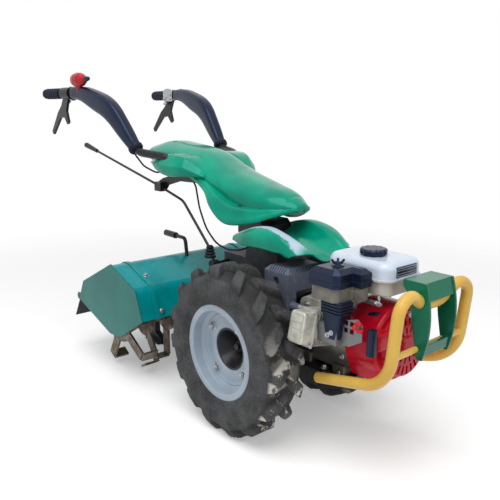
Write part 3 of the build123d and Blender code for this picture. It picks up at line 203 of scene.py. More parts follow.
def painted(
    name, colour, deep, roughness, coat, dusty, worn,
    wear_colour=BARE_STEEL, sheen=(1, 1, 1), soft=0.0012, highlight_streak=None,
):
    """Gloss paint or a glossy moulding: colour drift, orange peel, worn edges, dust and, where one is given, a
    pale painted highlight streak.
    """
    f = Finish(name, Coat_Roughness=0.1, IOR=1.48, Specular_IOR_Level=0.3, Specular_Tint=sheen)
    rounding = f.rounded(soft)
    edge = f.edges(rounding) * f.ramp(f.noise(55, 5), 0.45, 0.62) * worn
    drift = f.ramp(f.noise(7, 3), 0.3, 0.72)
    dust = f.dust(40) * dusty
    scratch = f.ramp(f.noise(210, 3, 0.7, (1, 1, 6)), 0.66, 0.8) * 0.35
    paint = f.mix(deep, colour, drift)
    paint = f.mix(paint, wear_colour, edge)
    painted_highlight = 0
    # A pale bluish streak along a ridge: a painted highlight, made matte
    if highlight_streak:
        beside = (f.axis("Y") - highlight_streak["y"]).math("ABSOLUTE") + f.noise(45, 7, 0.7) * 0.024
        within = f.ramp(f.axis("X"), *highlight_streak["rear"]) * f.ramp(f.axis("X"), *highlight_streak["front"])
        painted_highlight = f.ramp(beside, 0.032, 0.025) * within * 0.85
        paint = f.mix(paint, srgb(196, 210, 230), painted_highlight)
    f.feed(
        Base_Color=f.mix(paint, DUST, dust),
        Roughness=roughness + dust * 0.5 + scratch * 0.3 + edge * 0.2 + 0.4 * painted_highlight,
        Coat_Weight=coat - dust * 0.5 - 0.1 * painted_highlight,
        Normal=f.bump(f.noise(420, 2), 0.05, 0.0006, rounding),
    )
    return f.material


def moulded(name, colour, pale, roughness, grain, dusty, coat=0.0):
    """Satin moulded plastic: fine grain, paler scuffs, dust on what faces up and a painted blue sky reflection
    in its specular tint.
    """
    f = Finish(name, IOR=1.5, Specular_IOR_Level=0.4, Specular_Tint=SKY_REFLECTION_BLUE)
    f.feed(Coat_Weight=coat, Coat_Roughness=0.18)
    rounding = f.rounded(0.0025)
    edge = f.edges(rounding)
    rub = f.ramp(f.noise(34, 6, 0.65), 0.5, 0.78)
    dust = f.dust(48) * dusty
    tone = f.mix(colour, pale, rub * 0.3 + edge * 0.3)
    f.feed(
        Base_Color=f.mix(tone, DUST, dust),
        Roughness=roughness + rub * 0.14 + dust * 0.3,
        Normal=f.bump(f.noise(grain, 2), 0.12, 0.0005, rounding),
    )
    return f.material


def cast(name, colour, dark, metallic, roughness, grain, dusty, oily, darker_below=0.0):
    """Sand or die casting: pebbled skin, stains, oil, brighter rubbed edges and a near-black darkening of what
    lies low.
    """
    f = Finish(name)
    rounding = f.rounded(0.0022)
    edge = f.edges(rounding)
    stain = f.ramp(f.noise(18, 6, 0.7), 0.35, 0.75)
    oil = f.ramp(f.noise(9, 4), 0.55, 0.7) * oily
    dust = f.dust(52) * dusty
    tone = f.mix(colour, dark, stain)
    tone = f.mix(tone, srgb(198, 198, 194), edge * 0.4)
    low_darkening = f.ramp(f.axis("Z") + f.noise(26, 5) * 0.03, *DARKER_BELOW_HEIGHT) * darker_below
    tone = f.mix(tone, srgb(30, 26, 22), oil.math("MAXIMUM", low_darkening))
    f.feed(
        Base_Color=f.mix(tone, DUST, dust),
        Metallic=metallic - dust * metallic,
        Roughness=roughness + stain * 0.15 + dust * 0.2 - oil * 0.2,
        Normal=f.bump(f.cells(grain) + f.noise(grain / 2, 3), 0.18, 0.0009, rounding),
    )
    return f.material


def bright_metal(name, colour, roughness, rust):
    """Plated or bare steel with brushed streaks and specks of rust."""
    f = Finish(name)
    rounding = f.rounded(0.0012)
    brushed = f.noise(300, 3, 0.6, (1, 1, 9))
    specks = f.ramp(f.noise(90, 6, 0.7), 0.62, 0.74) * rust
    streaked = f.mix(colour, srgb(120, 120, 122), f.ramp(brushed, 0.3, 0.8))
    f.feed(
        Base_Color=f.mix(streaked, srgb(110, 62, 34), specks),
        Metallic=1 - specks,
        Roughness=roughness + brushed * 0.2 + specks * 0.4,
        Normal=f.bump(brushed, 0.06, 0.0004, rounding),
    )
    return f.material


# Radii and places on the tyre, in metres, between which one tone gives way to another
# TREAD_EDGE and LUG_WALL bound the painted shade in the grooves
TREAD_EDGE = (0.222, 0.229)
LUG_WALL = (0.232, 0.246)
MUD_RADIUS = (0.226, 0.238)
MUD_AHEAD = (AXLE.x + 0.1, AXLE.x + 0.2)
MUD_BELOW = (AXLE.z + 0.14, AXLE.z - 0.04)


def tyre_rubber():
    """Field tyre: grey bloom, grit, painted shade in the grooves and dried mud caked on the lower lugs of the
    front.
    """
    f = Finish("tyre_rubber", IOR=1.45)
    grit = f.noise(160, 8, 0.7)
    bloom = f.ramp(f.noise(14, 6, 0.65), 0.34, 0.66)
    spoke = f.vector("MULTIPLY", f.vector("SUBTRACT", f.place, AXLE), (1, 0, 1))
    radius = f.vector("LENGTH", spoke, out="Value")
    groove = f.ramp(radius, *TREAD_EDGE) * (1 - f.ramp(radius, *LUG_WALL))
    caked = f.ramp(f.noise(17, 8, 0.62), 0.5, 0.56)
    front = f.ramp(f.axis("X"), *MUD_AHEAD)
    low = f.ramp(f.axis("Z"), *MUD_BELOW)
    mud = caked * front * low * f.ramp(radius, *MUD_RADIUS)
    tone = f.mix(srgb(32, 33, 35), srgb(74, 75, 77), bloom)
    tone = f.mix(tone, srgb(128, 124, 114), f.ramp(grit, 0.5, 0.76) * 0.4)
    # Near-black in the grooves between the lugs: painted shade
    tone = f.mix(tone, srgb(16, 16, 17), groove * 0.6)
    f.feed(
        Base_Color=f.mix(tone, DRY_MUD, mud * 0.9),
        Roughness=0.7 + bloom * 0.12 + mud * 0.12,
        Normal=f.bump(grit + mud * 1.5, 0.5, 0.0022),
    )
    return f.material


def worn_blade():
    """Tine steel polished and stained by soil."""
    f = Finish("worn_blade")
    soil = f.ramp(f.noise(30, 8, 0.7), 0.4, 0.62)
    f.feed(
        Base_Color=f.mix(srgb(120, 116, 110), srgb(112, 92, 68), soil),
        Metallic=0.9 - soil * 0.9,
        Roughness=0.38 + soil * 0.5,
        Normal=f.bump(f.noise(120, 8, 0.7), 0.45, 0.002),
    )
    return f.material


TANK_SEAM = 0.04
SEAM_BLUR = 0.006


def tank_finish():
    """White moulded tank, bluish above its seam as a painted sky reflection, yellowed below it."""
    f = Finish("tank_white", IOR=1.5, Coat_Weight=0.35, Coat_Roughness=0.1)
    rounding = f.rounded(0.003)
    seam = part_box("fuel_tank")[0].z + TANK_SEAM
    lower = 1 - f.ramp(f.axis("Z"), seam - SEAM_BLUR, seam + SEAM_BLUR)
    stain = f.ramp(f.noise(20, 6, 0.65), 0.45, 0.75)
    dust = f.dust(45) * 0.15
    # Bluish white above the seam: the tank's white with a painted sky reflection
    tone = f.mix(srgb(204, 217, 233), srgb(186, 176, 160), lower * 0.85 + stain * 0.1)
    f.feed(
        Base_Color=f.mix(tone, DUST, dust),
        Roughness=0.22 + stain * 0.1 + dust * 0.4,
        Normal=f.bump(f.noise(380, 2), 0.05, 0.0006, rounding),
    )
    return f.material


def smoked_bowl():
    """Smoky translucent moulding of the air cleaner's lower bowl."""
    f = Finish("smoked_bowl", IOR=1.45, Transmission_Weight=0.35)
    rounding = f.rounded(0.002)
    film = f.ramp(f.noise(40, 5, 0.65), 0.35, 0.75)
    f.feed(
        Base_Color=f.mix(srgb(120, 117, 112), srgb(164, 156, 142), film),
        Roughness=0.28 + film * 0.25,
        Normal=f.bump(f.noise(500, 2), 0.06, 0.0005, rounding),
    )
    return f.material


# Pairs of a finish's own colour and the one that it drifts, wears or stains to
GREEN = (srgb(0, 150, 156), srgb(0, 128, 132))
# Darker copy of the tiller green for its side plates: painted shade
SHADED_SIDE_GREEN = (srgb(12, 116, 108), srgb(6, 102, 96))
FRAME_GREEN = (srgb(0, 106, 74), srgb(0, 88, 60))
MOULDING = (srgb(0, 160, 128), srgb(0, 130, 108))
YELLOW = (srgb(232, 192, 92), srgb(218, 172, 70))
COVER_RED = (srgb(214, 18, 48), srgb(172, 6, 34))
LEVER_RED = (srgb(206, 26, 34), srgb(168, 12, 24))
RIM_GREY = (srgb(172, 186, 200), srgb(150, 164, 178))
BLACK = (srgb(26, 27, 32), srgb(16, 16, 19))
ENGINE_GREY = (srgb(200, 200, 190), srgb(144, 142, 132))
RUST = srgb(120, 96, 72)
MOULDING_WORN = srgb(60, 190, 160)
GREEN_SHEEN = srgb(120, 235, 225)
RED_SHEEN = srgb(255, 160, 170)
# Where the hood's right ridge gets its painted highlight streak, in metres
HOOD_HIGHLIGHT_STREAK = {
    "y": at(0, -90, 0).y,
    "rear": (at(-50, 0, 0).x, at(-20, 0, 0).x),
    "front": (at(185, 0, 0).x, at(150, 0, 0).x),
}
MOULDED_GREEN = {
    "roughness": 0.18,
    "coat": 0.15,
    "dusty": 0.02,
    "worn": 0.1,
    "wear_colour": MOULDING_WORN,
    "sheen": GREEN_SHEEN,
}
# Black and dark grey tinted navy and bluish: a painted sky reflection in the colours of the black plastics and
# the muffler
SKY_TINTED_BLACK = (srgb(16, 21, 36), srgb(38, 48, 76))
SKY_TINTED_MUFFLER_GREY = (srgb(94, 101, 116), srgb(150, 160, 182))
RUBBER_BLACK = (srgb(20, 20, 21), srgb(44, 44, 46))
IRON_GREY = (srgb(60, 63, 68), srgb(30, 30, 33))

FINISHES = {
    "green_paint": painted(
        "green_paint", *GREEN, roughness=0.24, coat=0.12, dusty=0.05, worn=0.3, sheen=GREEN_SHEEN
    ),
    "green_plastic": painted("green_plastic", *MOULDING, **MOULDED_GREEN),
    "yellow_paint": painted("yellow_paint", *YELLOW, roughness=0.3, coat=0.15, dusty=0.12, worn=0.5),
    "red_cover": painted(
        "red_cover", *COVER_RED, roughness=0.24, coat=0.15, dusty=0.06, worn=0.4, sheen=RED_SHEEN
    ),
    "red_plastic": painted("red_plastic", *LEVER_RED, roughness=0.3, coat=0.1, dusty=0.05, worn=0.2),
    "rim_grey": painted(
        "rim_grey", *RIM_GREY, roughness=0.38, coat=0.3, dusty=0.1, worn=0.4, wear_colour=RUST
    ),
    "black_steel": painted("black_steel", *BLACK, roughness=0.36, coat=0.1, dusty=0.1, worn=0.5),
    "black_plastic": moulded(
        "black_plastic", *SKY_TINTED_BLACK, roughness=0.32, grain=900, dusty=0.02, coat=0.12
    ),
    "muffler_black": moulded(
        "muffler_black", *SKY_TINTED_MUFFLER_GREY, roughness=0.36, grain=500, dusty=0.05, coat=0.15
    ),
    "rubber": moulded("rubber", *RUBBER_BLACK, roughness=0.62, grain=700, dusty=0.12),
    "grey_casting": cast(
        "grey_casting", *IRON_GREY, metallic=0.35, roughness=0.55, grain=420, dusty=0.15, oily=0.5
    ),
    "engine_casting": cast(
        "engine_casting", *ENGINE_GREY,
        metallic=0.4, roughness=0.4, grain=520, dusty=0.1, oily=0.25, darker_below=0.85,
    ),
    "bright_steel": bright_metal("bright_steel", srgb(196, 198, 202), roughness=0.28, rust=0.12),
    "worn_steel": worn_blade(),
    "tyre": tyre_rubber(),
    "tank_white": tank_finish(),
    "smoked_plastic": smoked_bowl(),
}
HIGHLIGHTED_MOULDING = painted("moulding_with_painted_highlight", *MOULDING, **MOULDED_GREEN, highlight_streak=HOOD_HIGHLIGHT_STREAK)
# Tiller side plates: the tiller green darkened and greyed as painted shade, with no worn edges
SHADED_SIDE_PAINT = painted(
    "shaded_side_paint", *SHADED_SIDE_GREEN, roughness=0.3, coat=0.1, dusty=0.03, worn=0.0, sheen=GREEN_SHEEN
)
DULL_ZINC = bright_metal("dull_zinc", srgb(128, 130, 132), roughness=0.42, rust=0.3)
FRAME_PAINT = painted(
    "frame_paint", *FRAME_GREEN, roughness=0.2, coat=0.2, dusty=0.04, worn=0.3, sheen=GREEN_SHEEN, soft=0.004
)

for subpart in frame["record"]["subparts"]:
    piece = nodes[subpart["node"]]
    piece.data.materials.clear()
    piece.data.materials.append(FINISHES[subpart["material_slot"]])
OWN_FINISH = {
    "bumper_frame": FRAME_PAINT,
    "tiller_side_right": SHADED_SIDE_PAINT,
    "tiller_side_left": SHADED_SIDE_PAINT,
    "carburettor": DULL_ZINC,
}
for node, finish in OWN_FINISH.items():
    nodes[node].data.materials[0] = finish


# Mesh making

def grid_faces(rows, columns, close_rows=False, close_columns=False):
    """Quads over a grid of points stored row by row."""
    faces = []
    for r in range(rows if close_rows else rows - 1):
        for c in range(columns if close_columns else columns - 1):
            a, b = r * columns + c, r * columns + (c + 1) % columns
            s = (r + 1) % rows * columns
            faces.append((a, b, s + (c + 1) % columns, s + c))
    return faces


def corner_curve(before, corner, after, reach, steps, most=0.5):
    """A corner as a curve from reach before it to reach after it, within a share of each leg."""
    before, corner, after = (np.array(p, float) for p in (before, corner, after))
    ends = []
    for other in (before, after):
        leg = other - corner
        ends.append(corner + leg * min(most, reach / np.linalg.norm(leg)))
    t = np.linspace(0, 1, steps + 1)[:, None]
    return [tuple(p) for p in ends[0] * (1 - t) ** 2 + 2 * corner * t * (1 - t) + ends[1] * t * t]


def softened(outline, reach, steps=4):
    """A closed outline with its corners rounded off."""
    soft = []
    for i, corner in enumerate(outline):
        soft += corner_curve(outline[i - 1], corner, outline[(i + 1) % len(outline)], reach, steps)
    return soft


def flowing(knots, steps=6):
    """An open line of (across, up, reach) corners, each rounded off by its own reach."""
    line = [knots[0][:2]]
    for before, (*corner, reach), after in zip(knots, knots[1:], knots[2:]):
        line += corner_curve(before[:2], corner, after[:2], reach, steps)
    return [*line, knots[-1][:2]]


def eased(table, steps):
    """Rows drawn out to a smooth run of rows through them, evenly spaced along their first two columns."""
    table = np.array(table, float)
    place = np.concatenate(([0], np.cumsum(np.linalg.norm(np.diff(table[:, :2], axis=0), axis=1))))
    slope = np.gradient(table, place, axis=0)
    wanted = np.linspace(0, place[-1], steps)
    leg = np.clip(np.searchsorted(place, wanted, "right") - 1, 0, len(place) - 2)
    span = (place[leg + 1] - place[leg])[:, None]
    t = (wanted - place[leg])[:, None] / span
    near = table[leg] * (1 + 2 * t) * (1 - t) ** 2 + slope[leg] * span * t * (1 - t) ** 2
    far = table[leg + 1] * t * t * (3 - 2 * t) + slope[leg + 1] * span * t * t * (t - 1)
    return near + far


SAME_PLACE = 1e-6


class Shape:
    """Points and faces of one piece, gathered from several forms."""

    def __init__(self):
        self.points = []
        self.faces = []

    def grid(self, rows, close_rows=False, close_columns=False, capped=False):
        start, columns = len(self.points), len(rows[0])
        faces = grid_faces(len(rows), columns, close_rows, close_columns)
        if capped:
            faces += [range(columns), range((len(rows) - 1) * columns, len(rows) * columns)]
        self.points += [tuple(p) for row in rows for p in row]
        self.faces += [tuple(start + i for i in face) for face in faces]
        return self

    def turned(self, base, direction, outline, steps=24, ring=False):
        """Revolves pairs of distance along and radius, in millimetres, about a line from base."""
        axis = Vector(direction).normalized()
        side = axis.orthogonal().normalized()
        spokes = [side * cos(tau * i / steps) + axis.cross(side) * sin(tau * i / steps) for i in range(steps)]
        rows = [[base + MM * (axis * along + spoke * r) for spoke in spokes] for along, r in outline]
        return self.grid(rows, ring, True, not ring)

    def plate(self, base, across, up, outline, thick, bevel=0.6):
        """A bevelled plate of a closed outline of (across, up) pairs, in millimetres, standing on base."""
        across, up = Vector(across).normalized(), Vector(up).normalized()
        out = across.cross(up)
        flat = np.array(outline, float)
        middle = flat.mean(0)
        inner = middle + (flat - middle) * (1 - bevel / np.abs(flat - middle).max(0).min())
        levels = ((flat, 0), (flat, thick - bevel), (inner, thick))
        rows = [[base + MM * (across * u + up * v + out * h) for u, v in edge] for edge, h in levels]
        return self.grid(rows, False, True, True)

    def bolt(self, base, direction, flats):
        """Hexagon head of a width across flats on a washer."""
        washer, washer_r, head = 0.14 * flats, 0.8 * flats, 0.55 * flats
        corner = flats / 3 ** 0.5
        disc = ((-1, washer_r), (0.8 * washer, washer_r), (washer, 0.74 * flats))
        hexagon = ((washer - 0.5, corner), (washer + head * 0.8, corner), (washer + head, corner * 0.84))
        self.turned(base, direction, disc, 24)
        return self.turned(base, direction, hexagon, 6)

    def bolt_on(self, node, start, direction, flats):
        """A bolt where a line from start first meets a node."""
        return self.bolt(*on_surface(node, start, direction), flats)

    def piece(self, name, slot, body, sharp=40, outward=True):
        """The gathered forms as one object in a record's finish, riding on a body."""
        mesh = bpy.data.meshes.new(name)
        mesh.from_pydata(self.points, [], self.faces)
        work = bmesh.new()
        work.from_mesh(mesh)
        bmesh.ops.remove_doubles(work, verts=work.verts, dist=SAME_PLACE)
        if outward:
            bmesh.ops.recalc_face_normals(work, faces=work.faces)
        work.to_mesh(mesh)
        work.free()
        mesh.validate()
        mesh.shade_smooth()
        mesh.set_sharp_from_angle(angle=radians(sharp))
        mesh.materials.append(FINISHES[slot])
        made = bpy.data.objects.new(name, mesh)
        scene.collection.objects.link(made)
        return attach(made, body)


def walled(piece, thick):
    """Gives a skin its sheet thickness, inwards."""
    sheet = piece.modifiers.new("sheet", "SOLIDIFY")
    sheet.thickness = thick * MM
    sheet.offset = -1
    return piece


def on_surface(node, start, direction):
    """Where a line from start first meets a node, and the way that the surface faces there."""
    seen = bpy.context.evaluated_depsgraph_get()
    found, place, normal, _ = nodes[node].ray_cast(start, Vector(direction), depsgraph=seen)
    if not found:
        raise ValueError(f"nothing of {node} lies along that line")
    return place, normal


# Tyres: a rounded carcass raised into two rows of slanting lugs, in metres

LUGS = 15
TYRE_STEPS = 840
PROFILE_STEPS = 84
BEAD_TUCK = 0.004
LUG_LEAD = 0.030
LUG_SWEEP = 0.062
LUG_HALF = 0.0145
LUG_FLARE = 0.005
LUG_FOOT = 0.006
LUG_INNER_END = (-0.002, 0.005)
CROWN_CLEARANCE = 0.0008
SHOULDER = (0.044, 0.069)
SHOULDER_DROP = 0.019
SIDE_LIFT = 0.25
ROUGH_PATCH = (6, 4)
ROUGHNESS = 0.0011
FLOOR_ROUGHNESS = 0.3
rng = np.random.default_rng(7)


def smooth_step(value, low, high):
    t = np.clip((value - low) / (high - low), 0, 1)
    return t * t * (3 - 2 * t)


def rough_skin():
    """Soft random unevenness over the tyre's grid."""
    patches = (TYRE_STEPS // ROUGH_PATCH[0], PROFILE_STEPS // ROUGH_PATCH[1])
    skin = np.kron(rng.normal(0, 1, patches), np.ones(ROUGH_PATCH))
    for _ in range(4):
        skin = sum(np.roll(skin, step, axis) for step in (-1, 1) for axis in (0, 1)) / 4
    return np.abs(skin)


def make_tyre(name):
    low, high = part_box(f"tyre_{name}")
    outer = (high.z - low.z) / 2
    half = (high.y - low.y) / 2
    middle = (high.y + low.y) / 2
    bead = rim_high.z - AXLE.z - BEAD_TUCK
    # Half of the carcass line, from the tread's middle to the bead: offset, radius, share of lug height
    knots = [
        (0, outer - 0.0225, 1),
        (0.052, outer - 0.026, 1),
        (0.064, outer - 0.036, 0.6),
        (0.0685, bead + 0.05, 0.05),
        (0.068, bead + 0.034, 0),
        (0.0655, bead + 0.022, 0),
        (0.060, bead + 0.019, 0),
        (0.059, bead + 0.008, 0),
        (0.053, bead + 0.004, 0),
        (0.048, bead, 0),
    ]
    knots = np.array([(-y, r, share) for y, r, share in knots[:0:-1]] + knots)
    along = np.concatenate(([0], np.cumsum(np.hypot(*np.diff(knots[:, :2], axis=0).T))))
    run = np.linspace(0, along[-1], PROFILE_STEPS)
    line = np.stack([np.interp(run, along, column) for column in knots.T], 1)
    for _ in range(2):
        line[1:-1] = (line[:-2] + 2 * line[1:-1] + line[2:]) / 4
    offset, radius, share = (column[None, :] for column in line.T)
    tangent = np.gradient(line[:, :2], axis=0)
    tangent /= np.linalg.norm(tangent, axis=1)[:, None]
    out_y, out_r = -tangent[:, 1][None, :], tangent[:, 0][None, :]
    turn = np.linspace(0, tau, TYRE_STEPS, endpoint=False)[:, None]
    height = np.zeros((TYRE_STEPS, PROFILE_STEPS))
    pitch = tau / LUGS
    for row in (-1, 1):
        reach = np.clip(row * offset, 0, None)
        slant = (LUG_LEAD - LUG_SWEEP * reach / half) / outer
        where = (turn + slant - row * pitch / 4 + pitch / 2) % pitch - pitch / 2
        width = LUG_HALF + LUG_FLARE * reach / half
        wall = 1 - smooth_step(np.abs(where) * radius, width, width + LUG_FOOT)
        height = np.maximum(height, wall * smooth_step(row * offset, *LUG_INNER_END))
    crown = outer - np.maximum(CROWN_CLEARANCE, SHOULDER_DROP * smooth_step(np.abs(offset), *SHOULDER))
    lift = np.clip(crown - radius, 0, None) * share
    lifted = height * lift - ROUGHNESS * rough_skin() * (FLOOR_ROUGHNESS + height)
    y = middle + offset + out_y * lifted * SIDE_LIFT
    r = radius + np.abs(out_r) * lifted
    x = AXLE.x + r * np.sin(turn)
    z = AXLE.z + r * np.cos(turn)
    y = np.clip(np.broadcast_to(y, x.shape), low.y, high.y)
    tyre = Shape().grid(np.stack([x, y, z], -1), close_rows=True)
    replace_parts(tyre.piece(f"lugged_tyre_{name}", "tyre", f"wheel_{name}", 60), f"tyre_{name}")


# Wheels: rims with a rolled lip and a dished disc, wheel bolts and the axle nut

HALF_TRACK = 205
WHEEL_R = 255
WHEEL_BOLTS = 4
BOLT_CIRCLE = 90
BOLT_START = radians(53)
DISC_FACE = 13
CUP_FLOOR = -46
CHANNEL = (
    # offset outward from the wheel's middle, radius
    (55, 143), (50, 143), (50, 127), (22, 127), (14, 112),
    (-14, 112), (-22, 127), (-50, 127), (-50, 143), (-55, 143),
    (-55, 123), (-24, 123), (-16, 108), (16, 108), (24, 123), (55, 123),
)
DISC = ((17, 109), (13, 99), (13, 70), (9.5, 64), (6.5, 64), (8, 71), (8, 99), (11, 109))
CHANNEL_ROUNDING = 3.5
DISC_ROUNDING = 4
RIM_STEPS = 180
WHEEL_BOLT = 17
WHEEL_STUD = ((8, 5.4), (15, 5.4), (16, 4.6))
AXLE_NUT = 32
AXLE_END = ((18, 11), (30, 11), (32, 9))


def make_wheel(name, hand):
    middle = at(0, hand * HALF_TRACK, WHEEL_R)
    outward = hand * LEFT
    rim = Shape()
    rim.turned(middle, outward, softened(CHANNEL, CHANNEL_ROUNDING), RIM_STEPS, ring=True)
    rim.turned(middle, outward, softened(DISC, DISC_ROUNDING), RIM_STEPS, ring=True)
    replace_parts(rim.piece(f"dished_rim_{name}", "rim_grey", f"wheel_{name}", 50), f"rim_{name}")
    bolts = Shape()
    for i in range(WHEEL_BOLTS):
        turn = BOLT_START + tau * i / WHEEL_BOLTS
        place = middle + BOLT_CIRCLE * MM * Vector((cos(turn), 0, sin(turn))) + outward * DISC_FACE * MM
        bolts.bolt(place, outward, WHEEL_BOLT)
        bolts.turned(place, outward, WHEEL_STUD, 16)
    bolts.piece(f"wheel_bolts_{name}", "bright_steel", f"wheel_{name}")
    nut = Shape()
    nut.bolt(middle + outward * CUP_FLOOR * MM, outward, AXLE_NUT)
    nut.turned(middle + outward * CUP_FLOOR * MM, outward, AXLE_END)
    nut.piece(f"axle_nut_{name}", "black_steel", f"wheel_{name}")


for side_name, side_hand in HANDS:
    make_tyre(side_name)
    make_wheel(side_name, side_hand)


# Console: a smooth open-bottomed moulding with a wing on each side

SKIN = 4
CONSOLE = (
    # x, foot z, foot half width, shoulder z, shoulder half width, crown z
    (72, 653, 30, 661, 26, 672),
    (30, 638, 66, 668, 54, 696),
    (-60, 608, 108, 682, 84, 718),
    (-130, 603, 126, 696, 92, 734),
    (-205, 645, 126, 716, 96, 752),
    (-250, 684, 112, 730, 98, 768),
    (-340, 728, 108, 764, 98, 803),
    (-480, 752, 106, 790, 94, 824),
    (-570, 764, 96, 796, 86, 830),
    (-640, 776, 84, 796, 76, 816),
)
# Sections that close the nose: scale of the first row, distance ahead of it
NOSE = ((0.02, 6), (0.45, 5.8), (0.75, 4.6), (0.92, 2.6))
WINGS = (
    # x, foot z, top z, outer distance from the middle
    (-262, 728, 742, 116),
    (-320, 730, 784, 152),
    (-400, 726, 798, 168),
    (-490, 748, 786, 162),
    (-520, 758, 776, 150),
)
FULL_FLARE = 34
SWEEP = 90
BEZEL_X = 42
BEZEL_WIDTH = 4
BEZEL_DEPTH = 3
WING_ROOT = 88
WING_TUCK = 10
WING_BEVEL = 24
WING_ROUNDING = 5
CONSOLE_ROWS = 150
WING_ROWS = 48
SLIT = ((-15, -3), (15, -3), (15, 3), (-15, 3))
SLIT_AT = (-92, 93, 648)
SLIT_WAY = (1, 0, -0.2)
SLIT_DEPTH = 8


def console_section(x, foot, foot_half, shoulder, shoulder_half, crown):
    """One arch of the console, foot to foot: a hump that stands on a leaf with a ledge between them."""
    arch = crown - shoulder
    flare, drop = foot_half - shoulder_half, shoulder - foot
    leaf = min(1, flare / FULL_FLARE)
    half = (
        (foot_half - 5, foot + 1, 0),
        (foot_half + 1, foot + 1, 3),
        (foot_half + 2, foot + 9, 6),
        (shoulder_half + 0.74 * flare + 4 * leaf, foot + 0.28 * drop, SWEEP),
        (shoulder_half + 0.48 * flare + 7 * leaf, foot + 0.50 * drop, 4),
        (shoulder_half + 0.42 * flare + 3 * leaf, foot + 0.545 * drop, 4),
        (shoulder_half + 0.06 * flare - 7 * leaf, foot + 0.60 * drop, 4),
        (shoulder_half + 0.02 * flare - 4 * leaf, foot + 0.74 * drop, SWEEP),
        (shoulder_half + 1, shoulder, 12),
        (0.82 * shoulder_half, crown - 0.50 * arch, SWEEP),
        (0.42 * shoulder_half, crown - 0.06 * arch, SWEEP),
    )
    line = [*half, (0, crown, SWEEP), *[(-y, z, reach) for y, z, reach in reversed(half)]]
    return [at(x, y, z) for y, z in flowing(line)]


def make_console():
    body = Shape()
    rows = []
    for row in eased(CONSOLE, CONSOLE_ROWS):
        section = console_section(*row)
        middle = sum(section, Vector()) / len(section)
        groove = BEZEL_DEPTH * np.exp(-((row[0] - BEZEL_X) / BEZEL_WIDTH) ** 2)
        rows.append([p - (p - middle).normalized() * groove * MM for p in section])
    nose = (rows[0][0] + rows[0][-1]) / 2
    cap = [[nose + (p - nose) * share + FORWARD * ahead * MM for p in rows[0]] for share, ahead in NOSE]
    body.grid(cap + rows)
    moulding = walled(body.piece("console_moulding", "green_plastic", "chassis", 60, outward=False), SKIN)
    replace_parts(moulding, "console")
    wings = Shape()
    for _, hand in HANDS:
        rows = []
        for x, foot, top, outer in eased(WINGS, WING_ROWS):
            line = (
                (WING_ROOT - 14, top + 2),
                (outer - WING_BEVEL, top),
                (outer, (foot + top) / 2),
                (outer - WING_TUCK, foot),
                (WING_ROOT - 4, foot + 6),
            )
            rows.append([at(x, hand * y, z) for y, z in softened(line, WING_ROUNDING)])
        wings.grid(rows, close_columns=True, capped=True)
    wings.piece("console_wings", "green_plastic", "chassis", 50)
    slots = Shape()
    for _, hand in HANDS:
        x, y, z = SLIT_AT
        slots.plate(at(x, hand * y, z), SLIT_WAY, LEFT, softened(SLIT, 2), SLIT_DEPTH)
    slots.piece("console_slots", "black_plastic", "chassis")


make_console()


# Hood: pressed saddle with two fender ridges and a valley, slotted at the rear for the column

HOOD = (
    # x, edge z, crest z, valley z, half width, ridge distance from the middle
    (192, 540, 553, 524, 112, 90),
    (145, 550, 577, 534, 118, 94),
    (90, 550, 596, 552, 122, 96),
    (34, 552, 606, 568.2, 124, 94),
    (-50, 548, 592, 568.2, 122, 92),
    (-112, 552, 566, 556, 108, 88),
)
SLOT_HALF = 64
SLOT_FRONT = -24
RIDGE_HALF = 14
HOOD_CORNER = 55
HOOD_ROWS = 90
HOOD_LINE = 120
FLANK_COLUMNS = 26
DECK_COLUMNS = 19


def corner_cut(x, from_side):
    """How far a place near the hood's front corner is drawn back, so that the corner is round."""
    inside = min(max(HOOD_CORNER - from_side, 0), HOOD_CORNER)
    share = smooth_step(x, HOOD[0][0] - 2 * HOOD_CORNER, HOOD[0][0])
    return share * (HOOD_CORNER - (HOOD_CORNER ** 2 - inside ** 2) ** 0.5)


def make_hood():
    rows = []
    for x, edge, crest, valley, half, ridge in eased(HOOD, HOOD_ROWS):
        side = (
            (half, edge),
            (half - 3, edge + 0.6 * (crest - edge)),
            (ridge + RIDGE_HALF, crest - 3),
            (ridge, crest),
            (ridge - RIDGE_HALF, crest - 1),
            (ridge - 40, valley + 0.42 * (crest - valley)),
            (0.28 * ridge, valley + 0.04 * (crest - valley)),
        )
        line = eased([*side, (0, valley)], HOOD_LINE)
        flank = np.linspace(0, np.argmax(line[:, 0] <= SLOT_HALF), FLANK_COLUMNS).astype(int)
        left = [(y, z) for y, z in line[flank]]
        places, heights = line[::-1].T
        left[-1] = (SLOT_HALF, np.interp(SLOT_HALF, places, heights))
        deck_places = np.linspace(SLOT_HALF, -SLOT_HALF, DECK_COLUMNS)[1:-1]
        deck = [(y, np.interp(abs(y), places, heights)) for y in deck_places]
        row = [*left, *deck, *[(-y, z) for y, z in reversed(left)]]
        rows.append([at(x - corner_cut(x, half - abs(y)), y, z) for y, z in row])
    skin = Shape().grid(rows)
    columns = len(rows[0])
    slot_x = at(SLOT_FRONT, 0, 0).x
    in_slot = range(FLANK_COLUMNS - 1, columns - FLANK_COLUMNS)
    skin.faces = [
        face for face in skin.faces
        if skin.points[face[0]][0] > slot_x or face[0] % columns not in in_slot
    ]
    hood = walled(skin.piece("hood_pressing", "green_plastic", "chassis", 60, outward=False), SKIN)
    # The hood's finish carries the painted highlight streak along its right ridge.
    hood.data.materials.clear()
    hood.data.materials.append(HIGHLIGHTED_MOULDING)
    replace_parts(hood, "hood")


make_hood()


# Handle covers, collars, throttle tip and the clamps at the handles' ends

